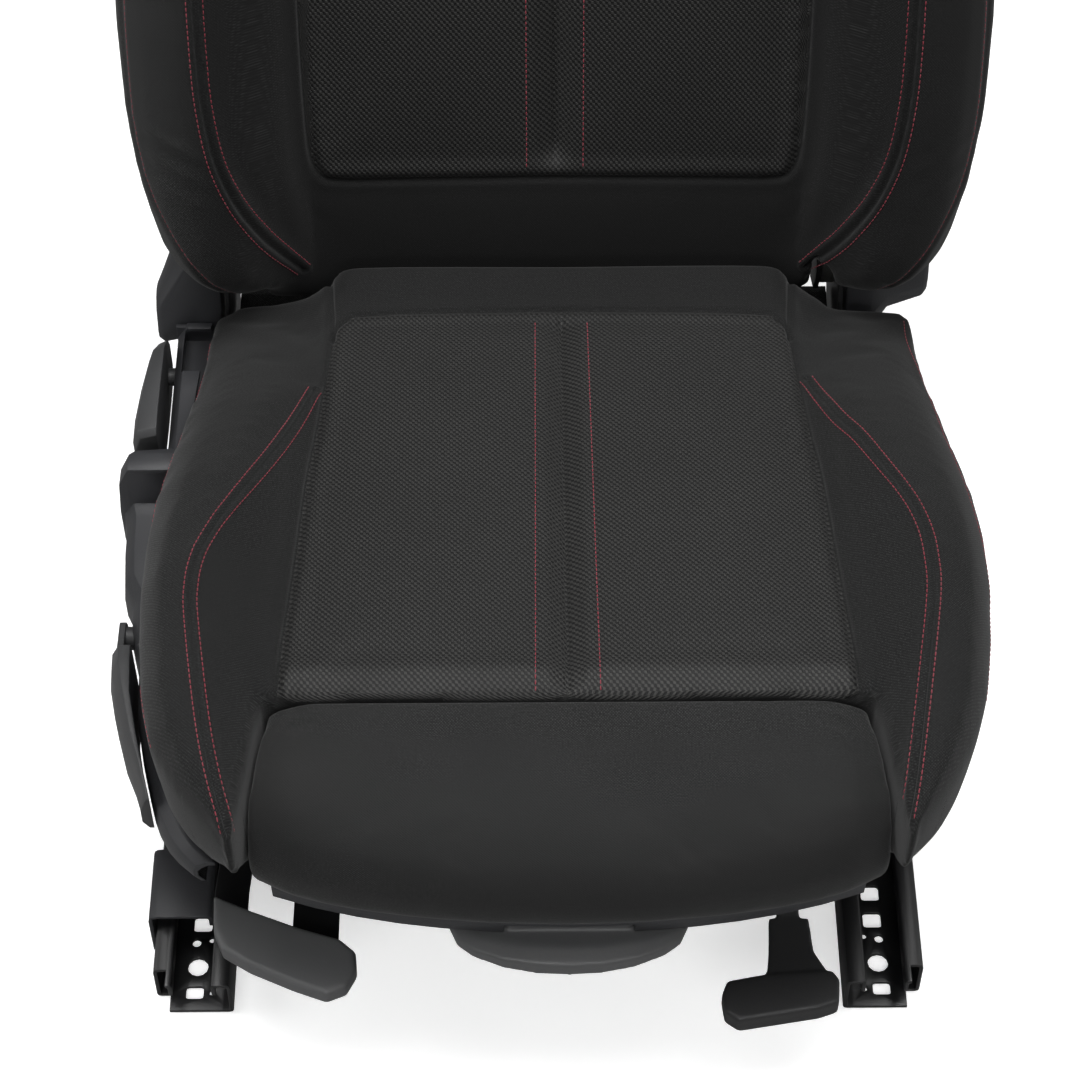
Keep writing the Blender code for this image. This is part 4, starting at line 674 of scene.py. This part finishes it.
def make_cushion():
    obj = remeshed("cushion_pad", "cushion_cover", 0.006, 9)
    mesh = obj.data
    co, n = coordinates(mesh), normals(mesh)
    plan = half_plan(co)
    top = ramp(n[:, 2], 0.0, 0.35)
    seam = seam_distance(co)
    border = path_distance(plan, INSERT_HALF)
    rear = path_distance(plan, REAR_LINE)
    crease = np.abs(co[:, 0]) + FAR * (co[:, 1] > 0.176)
    pinned = np.maximum.reduce([
        top * bell(seam, 0.007), top * bell(border, 0.007),
        top * 0.9 * bell(crease, 0.008), top * bell(rear, 0.006),
        1 - ramp(co[:, 2], 0.182, 0.204), ramp(co[:, 1], 0.180, 0.205),
        0.9 * (1 - ramp(n[:, 2], 0.1, 0.5)) * (plan[:, 0] < 0.197) * (co[:, 1] < -0.165),
    ])
    set_coordinates(mesh, co - n * (0.0025 * (1 - pinned))[:, None])
    inflate(obj, pinned, 0.0075)

    def near(co):
        plan = half_plan(co)
        close = np.minimum(seam_distance(co), path_distance(plan, INSERT_HALF))
        close = np.minimum(close, np.abs(co[:, 0]) + FAR * (co[:, 1] > 0.18))
        close = np.minimum(close, path_distance(plan, REAR_LINE))
        return (close < 0.0075) & (co[:, 2] > 0.200)

    mesh = refine(obj, near)
    co, n = coordinates(mesh), normals(mesh)
    plan = half_plan(co)
    top = ramp(n[:, 2], 0.0, 0.35)
    seam = seam_distance(co)
    border = path_distance(plan, INSERT_HALF)
    is_in = inside(co[:, :2], INSERT_OUTLINE) & (co[:, 2] > 0.19)
    crease = np.abs(co[:, 0])
    on_crease = ramp(co[:, 1], -0.185, -0.160) * (1 - ramp(co[:, 1], 0.160, 0.178))
    stitched = np.abs(seam - 0.5 * DOUBLE_GAP)
    # Grooves along the sewn lines, with the cloth swelling beside them.
    lift = (
        -0.0022 * bell(seam, 0.0017) + 0.0009 * bell(seam - 0.0030, 0.0022) - 0.0006 * bell(stitched, 0.0010)
        - 0.0030 * bell(border, 0.0022) + 0.0012 * bell(border - 0.0070, 0.0050) * is_in
        - on_crease * (0.0042 * bell(crease, 0.0085) + 0.0020 * bell(crease, 0.0020))
        + on_crease * 0.0010 * bell(crease - 0.0115, 0.0040)
        - on_crease * 0.0007 * bell(crease - CENTRE_HALF, 0.0011)
        - 0.0028 * bell(path_distance(plan, REAR_LINE), 0.0021)
    ) * top
    # The panel's front edge rolls over a welt before the thigh pad.
    lift += 0.0022 * bell(co[:, 1] + 0.1560, 0.0090) * is_in
    set_coordinates(mesh, co + n * lift[:, None])
    signed = np.where(is_in, border, -border)
    store(mesh, "insert", np.clip(signed, -0.05, 0.05))
    # Painted highlight where the mesh rolls over the front welt, and painted shade in the groove along the
    # insert's border.
    painted_light = (1 + 0.32 * bell(co[:, 1] + 0.1650, 0.0120) * is_in) * (1 - 0.35 * is_in * bell(border, 0.0045))
    # Painted light on the left bolster's outer side, which faces the left lamp.
    painted_light *= 1 + 0.50 * ramp(-co[:, 0], 0.230, 0.256)
    # Painted shadow of the backrest over the rear band; all of this painted light goes into the tone
    # attribute.
    store(mesh, "tone", painted_light * (1 - 0.32 * ramp(co[:, 1], 0.140, 0.190)))
    fall = np.maximum(0.0, 0.29 - co[:, 2] - 0.14 * (co[:, 1] + 0.28)) * (1 - np.clip(n[:, 2], 0, 1))
    across = co[:, 0] + np.sign(co[:, 0]) * fall
    store(mesh, "weave", np.stack([across, co[:, 1] - fall * (co[:, 1] < -0.25), 0 * fall], axis=1))
    make_cover(obj, "cushion_pad", "pan", "cover_fabric")

    tree = tree_of(mesh)
    above = 0.45
    rows, edge_rows = [], []

    def on_top(x, y):
        return drop(tree, np.stack([x, y, np.full(len(y), above)], axis=1), (0, 0, -1))

    for side in (-1, 1):
        for gap in (0.0, DOUBLE_GAP):
            line = offset_path(CUSHION_LINES[side], gap)
            rows.append(on_top(side * line[:, 0], line[:, 1]))
        y = np.linspace(-0.170, 0.162, 90)
        # The two centre rows spread a little towards the front.
        half = CENTRE_HALF + 0.0016 * (0.13 - y) / 0.29
        rows.append(on_top(side * half, y))
        edge = smooth_path(EDGE_ROW) * (LEFT_FULLNESS if side < 0 else 1.0, 1.0)
        edge_rows.append(on_top(side * edge[:, 0], edge[:, 1]))
    stitches("cushion_stitching", rows, "pan")
    stitches("cushion_edge_stitching", edge_rows, "pan", EDGE_THREAD_R)


# ---------------------------------------------------------------- thigh pad
def make_thigh_pad():
    obj = remeshed("thigh_pad", "thigh_cover", 0.005, 8)
    mesh = obj.data
    co, n = coordinates(mesh), normals(mesh)
    pinned = np.maximum.reduce([
        1 - ramp(co[:, 2], 0.180, 0.194),
        0.8 * ramp(np.abs(n[:, 0]), 0.5, 0.9), 0.9 * ramp(n[:, 1], 0.4, 0.8),
    ])
    set_coordinates(mesh, co - n * (0.0015 * (1 - pinned))[:, None])
    inflate(obj, pinned, 0.0060)
    mesh = refine(obj, lambda co: np.zeros(len(co), bool))
    co, n = coordinates(mesh), normals(mesh)
    fall = np.maximum(0.0, 0.275 - co[:, 2])
    store(mesh, "weave", np.stack([co[:, 0], co[:, 1] - fall, 0 * fall], axis=1))
    make_cover(obj, "thigh_pad", "thigh_support", "plain_fabric")


# ---------------------------------------------------------------- backrest
# Small folds where each bolster bends in above the recliner: (side, height, tilt, rise).
BOLSTER_FOLDS = (
    (-1, 0.105, 0.55, 0.0016), (-1, 0.088, 0.50, 0.0014), (-1, 0.070, 0.42, 0.0011),
    (1, 0.092, 0.45, 0.0009), (1, 0.073, 0.40, 0.0008),
)
BACK_LINE = smooth_path(BACK_SEAM)
BACK_MIDDLE = offset_path(BACK_LINE, 0.5 * BACK_DOUBLE_GAP)
BACK_EDGE_LINE = smooth_path(BACK_EDGE)
BACK_INSERT_HALF = smooth_path(BACK_INSERT)
BACK_OUTLINE = np.vstack([BACK_INSERT_HALF, BACK_INSERT_HALF[::-1][1:] * (-1, 1)])


def make_back():
    obj = remeshed("back_pad", "back_cover", 0.007, 8)
    mesh = obj.data
    co, n = coordinates(mesh), normals(mesh)
    b, m = to_back(co), turned(n)
    plan = half_plan(b[:, [0, 2]])
    front = ramp(m[:, 1], 0.0, 0.35)
    seam, border = path_distance(plan, BACK_MIDDLE), path_distance(plan, BACK_INSERT_HALF)
    edge = path_distance(plan, BACK_EDGE_LINE)
    crease = plan[:, 0] + FAR * ((plan[:, 1] < 0.055) | (plan[:, 1] > 0.497))
    pinned = np.maximum.reduce([
        front * bell(seam, 0.008), front * bell(border, 0.008), front * 0.9 * bell(crease, 0.008),
        front * 0.8 * bell(edge, 0.007),
        1 - ramp(b[:, 1], 0.004, 0.022), 1 - ramp(b[:, 2], -0.022, 0.004),
        (1 - ramp(b[:, 2], 0.030, 0.075)) * ramp(plan[:, 0], 0.165, 0.190) * (1 - front),
    ])
    set_coordinates(mesh, co - n * (0.0025 * (1 - pinned))[:, None])
    inflate(obj, pinned, 0.0080)
    # The bolsters' lower ends hang a little over the cushion's rear corners.
    co = coordinates(mesh)
    b = to_back(co)
    hang = ramp(b[:, 1], 0.045, 0.080) * ramp(np.abs(b[:, 0]), 0.150, 0.190)
    hang *= 1 - ramp(b[:, 2], -0.012, 0.045)
    upward = from_back([(0, 0, 1)]) - from_back([(0, 0, 0)])
    set_coordinates(mesh, co - 0.0035 * hang[:, None] * upward)

    def near(co):
        b = to_back(co)
        plan = half_plan(b[:, [0, 2]])
        close = np.minimum(path_distance(plan, BACK_MIDDLE), path_distance(plan, BACK_INSERT_HALF))
        close = np.minimum(close, plan[:, 0] + FAR * ((plan[:, 1] < 0.05) | (plan[:, 1] > 0.5)))
        close = np.minimum(close, path_distance(plan, BACK_EDGE_LINE))
        return (close < 0.0080) & (b[:, 1] > 0.020)

    mesh = refine(obj, near)
    co, n = coordinates(mesh), normals(mesh)
    b, m = to_back(co), turned(n)
    plan = half_plan(b[:, [0, 2]])
    front = ramp(m[:, 1], 0.02, 0.25) * (b[:, 1] > 0.012)
    seam, border = path_distance(plan, BACK_MIDDLE), path_distance(plan, BACK_INSERT_HALF)
    edge = path_distance(plan, BACK_EDGE_LINE)
    is_in = inside(b[:, [0, 2]], BACK_OUTLINE) & (b[:, 1] > 0.015)
    crease = plan[:, 0]
    on_crease = ramp(plan[:, 1], 0.055, 0.080) * (1 - ramp(plan[:, 1], 0.470, 0.498))
    stitched = np.abs(seam - 0.5 * BACK_DOUBLE_GAP)
    lift = (
        -0.0026 * bell(seam, 0.0019) + 0.0010 * bell(seam - 0.0036, 0.0026) - 0.0006 * bell(stitched, 0.0011)
        - 0.0036 * bell(border, 0.0026) + 0.0016 * bell(border - 0.0080, 0.0055) * is_in
        - on_crease * (0.0046 * bell(crease, 0.0090) + 0.0022 * bell(crease, 0.0022))
        + on_crease * 0.0010 * bell(crease - 0.0118, 0.0042)
        - 0.0018 * bell(edge, 0.0022)
    ) * front
    for side, height, tilt, reach in BOLSTER_FOLDS:
        across = b[:, 2] - height - tilt * (plan[:, 0] - 0.250)
        lift += reach * bell(across, 0.0045) * bell(plan[:, 0] - 0.252, 0.020) * (side * b[:, 0] > 0) * front
    set_coordinates(mesh, co + n * lift[:, None])
    signed = np.where(is_in, border, -border)
    store(mesh, "insert", np.clip(signed, -0.05, 0.05))
    # Painted shade on the bolsters' inner sides, on the band above the cushion and along the insert's
    # border, and painted light on the left bolster's outer side.
    low = (1 - ramp(b[:, 2], 0.030, 0.060)) * (1 - ramp(plan[:, 0], 0.175, 0.215))
    painted_bolster_light = np.where(is_in, 0.95, 0.55 + 1.60 * ramp(plan[:, 0], 0.215, 0.262) * (b[:, 0] < 0))
    store(mesh, "tone", painted_bolster_light * (1 - 0.45 * low) * (1 - 0.35 * is_in * bell(border, 0.0045)))
    fall = np.maximum(0.0, 0.10 - b[:, 1]) * ramp(np.abs(m[:, 0]), 0.4, 0.9)
    weave = np.stack([b[:, 0] + np.sign(b[:, 0]) * fall, b[:, 2], 0 * fall], axis=1)
    store(mesh, "weave", weave)
    make_cover(obj, "back_pad", "backrest", "cover_fabric")

    tree = tree_of(mesh)
    forward = from_back([(0, 1, 0)])[0] - from_back([(0, 0, 0)])[0]
    ahead = 0.30
    rows, edge_rows = [], []

    def on_front(x, height):
        starts = from_back(np.stack([x, np.full(len(x), ahead), height], axis=1))
        return drop(tree, starts, tuple(-forward))

    for side in (-1, 1):
        for gap in (0.0, BACK_DOUBLE_GAP):
            line = offset_path(BACK_LINE, gap)
            rows.append(on_front(side * line[:, 0], line[:, 1]))
        height = np.linspace(0.062, 0.488, 110)
        rows.append(on_front(np.full(len(height), side * CENTRE_HALF * 1.08), height))
        edge_rows.append(on_front(side * (BACK_EDGE_LINE[:, 0] - 0.0030), BACK_EDGE_LINE[:, 1]))
    stitches("back_stitching", rows, "backrest")
    stitches("back_edge_stitching", edge_rows, "backrest", EDGE_THREAD_R)


# ---------------------------------------------------------------- head restraint
WELT_DEPTH = -0.004  # where the head restraint's seam runs round its side


def make_headrest():
    obj = remeshed("headrest_pad", "headrest_cover", 0.005, 6)
    mesh = obj.data
    co, n = coordinates(mesh), normals(mesh)
    b = to_back(co)
    welt = np.abs(b[:, 1] - WELT_DEPTH)
    pinned = np.maximum(bell(welt, 0.006), 1 - ramp(b[:, 2], 0.672, 0.690))
    set_coordinates(mesh, co - n * (0.002 * (1 - pinned))[:, None])
    inflate(obj, pinned, 0.0060)

    mesh = refine(obj, lambda co: np.abs(to_back(co)[:, 1] - WELT_DEPTH) < 0.006)
    co, n = coordinates(mesh), normals(mesh)
    b = to_back(co)
    welt = np.abs(b[:, 1] - WELT_DEPTH)
    lift = -0.0022 * bell(welt, 0.0019) + 0.0007 * bell(welt - 0.0038, 0.0022)
    set_coordinates(mesh, co + n * lift[:, None])
    store(mesh, "weave", np.stack([b[:, 0], b[:, 2] + 0.5 * b[:, 1], 0 * welt], axis=1))
    make_cover(obj, "headrest_pad", "head_restraint", "plain_fabric")


# ---------------------------------------------------------------- apron between the cushion and the backrest
def make_apron():
    """The cover's rear flap, hooked to the frame under the recliners. It closes the gap to the backrest."""
    across, deep = 40, 10
    left, right = -0.2255, 0.1895
    front, rear, level, thick = 0.1985, 0.2600, 0.1505, 0.0014
    points, faces = [], []
    for layer in (0, 1):
        for i in range(across + 1):
            for k in range(deep + 1):
                x = left + (right - left) * i / across
                y = front + (rear - front) * k / deep
                sag = 0.0022 * math.sin(math.pi * k / deep) * (1 + 0.4 * math.sin(i * 0.9))
                points.append((x, y, level - sag - layer * thick))
    row = deep + 1
    half = (across + 1) * row
    for i in range(across):
        for k in range(deep):
            a = i * row + k
            faces.append((a, a + row, a + row + 1, a + 1))
            faces.append((half + a, half + a + 1, half + a + row + 1, half + a + row))
    rim = [i * row for i in range(across + 1)] + [across * row + k for k in range(1, row)]
    rim += [i * row + deep for i in range(across - 1, -1, -1)] + [k for k in range(deep - 1, 0, -1)]
    for a, b in zip(rim, rim[1:] + rim[:1]):
        faces.append((b, a, half + a, half + b))
    obj = mesh_piece("rear_apron", points, faces, material_of("plain_fabric"))
    store(obj.data, "weave", coordinates(obj.data))
    sew_on(obj, "seat_frame")


# ---------------------------------------------------------------- CAD pieces
CAD_FINISH = {
    "trim": ("side_valance_left", "inner_side_trim", "recliner_cover_left", "recliner_cover_right",
             "rail_cover_left", "front_trim", "headrest_sleeve_left", "headrest_sleeve_right",
             "ball_cage_left", "ball_cage_right"),
    "lever": ("height_lever", "recline_lever", "headrest_button"),
    "grip": ("tilt_release_lever",),
    "handle": ("slide_release_grip", "thigh_handle"),
    "shell": ("back_shell", "lumbar_plate", "thigh_carrier", "thigh_guide_left", "thigh_guide_right"),
    "zinc": ("front_link_left", "front_link_right", "rear_link_left", "rear_link_right",
             "front_link_pin_left", "front_link_pin_right", "rear_link_pin_left", "rear_link_pin_right",
             "front_torsion_tube", "rear_torsion_tube", "pan_pivot_rod", "height_pump",
             "recliner_disc_left", "recliner_disc_right", "recliner_shaft", "thigh_rod_left",
             "thigh_rod_right"),
    "wire": ("seat_spring_1", "seat_spring_2", "seat_spring_3", "seat_spring_4"),
    "chrome": ("headrest_posts",),
}
MOULDED = ("slide_release_grip", "thigh_handle", "tilt_release_lever")  # thick handles with full, soft edges
ROUNDED = {"trim": 0.0012, "lever": 0.0016, "handle": 0.0020, "shell": 0.0008, "zinc": 0.0004,
           "black_steel": 0.0004}


def finish_cad():
    """The other solids as they are, with rounded edges and their own materials."""
    kinds = {node: kind for kind, nodes in CAD_FINISH.items() for node in nodes}
    for node, obj in NODES.items():
        if obj.hide_render:
            continue
        kind = kinds.get(node, "black_steel")
        mesh = obj.data
        mesh.materials.clear()
        mesh.materials.append(material_of(kind))
        if mesh.attributes.get("custom_normal"):
            mesh.attributes.remove(mesh.attributes["custom_normal"])
        mesh.shade_smooth()
        mesh.set_sharp_from_angle(angle=math.radians(32))
        weld = obj.modifiers.new("weld", "WELD")
        weld.merge_threshold = 2e-5
        if node in MOULDED:
            remesh = obj.modifiers.new("remesh", "REMESH")
            remesh.mode, remesh.voxel_size, remesh.use_smooth_shade = "VOXEL", 0.0011, True
            soften = obj.modifiers.new("soften", "SMOOTH")
            soften.factor, soften.iterations = 0.5, 9
        elif kind in ROUNDED:
            bevel = obj.modifiers.new("bevel", "BEVEL")
            bevel.width, bevel.segments, bevel.limit_method = ROUNDED[kind], 2, "ANGLE"
            bevel.angle_limit = math.radians(38)
            bevel.harden_normals = False


# ---------------------------------------------------------------- stage
def area_light(name, size, place, aim, power):
    light = bpy.data.lights.new(name, "AREA")
    light.shape = "RECTANGLE"
    light.size, light.size_y = size
    light.energy = power
    obj = bpy.data.objects.new(name, light)
    SCENE.collection.objects.link(obj)
    obj.location = Vector(place) + Vector(SHIFT)
    obj.rotation_euler = (Vector(aim) - Vector(place)).to_track_quat("-Z", "Y").to_euler()
    return obj


def make_stage():
    size, level = 6.0, -0.0015  # just below the rails
    points = [(-size, -size, level), (size, -size, level), (size, size, level), (-size, size, level)]
    floor = mesh_piece("floor", points, [(0, 1, 2, 3)], smooth=False)
    g = Graph("floor")
    shade = g.noise(g.object_place(), 3.0, 2.0)
    seen = g.add("LightPath").outputs["Is Camera Ray"]
    # Seen white, but it throws little light back up.
    colour = g.mix(seen, (0.30, 0.30, 0.30), g.mix(shade, (0.90, 0.90, 0.90), (0.94, 0.94, 0.94)))
    g.set(Base_Color=colour, Roughness=0.9, Specular_IOR_Level=0.1, Emission_Color=(1, 1, 1, 1),
          Emission_Strength=g.math("MULTIPLY", seen, 0.55))
    floor.data.materials.append(g.material)

    world = bpy.data.worlds.new("studio")
    world.use_nodes = True
    background = world.node_tree.nodes["Background"]
    background.inputs["Color"].default_value = (1.0, 1.0, 1.0, 1.0)
    background.inputs["Strength"].default_value = 0.10
    SCENE.world = world
    SCENE.view_settings.view_transform = "Standard"

    middle = (0.0, 0.05, 0.35)
    area_light("overhead", (2.0, 1.6), (0.0, 0.10, 2.5), middle, 66)
    area_light("left", (0.8, 1.6), (-2.0, -0.2, 1.2), middle, 12)
    area_light("right", (0.8, 1.6), (2.0, -0.2, 1.3), middle, 8)
    area_light("front", (1.6, 0.8), (0.0, -2.4, 1.3), middle, 1.5)
    area_light("rear", (1.4, 0.8), (0.0, 2.3, 1.5), middle, 8)
    low = area_light("low_front", (1.2, 0.3), (0.0, -1.30, 1.00), (0.0, -0.36, 0.10), 0.9)
    low.data.spread = math.radians(50)

    camera = bpy.data.cameras.new("camera")
    camera.lens, camera.sensor_width = 97.9, 36
    eye = bpy.data.objects.new("camera", camera)
    SCENE.collection.objects.link(eye)
    eye.location = Vector((-0.0239, -1.1665, 1.685)) + Vector(SHIFT)
    eye.rotation_euler = (math.radians(38.0), 0.0, math.radians(-0.42))
    SCENE.camera = eye


make_cushion()
make_thigh_pad()
make_back()
make_headrest()
make_apron()
finish_cad()
make_stage()
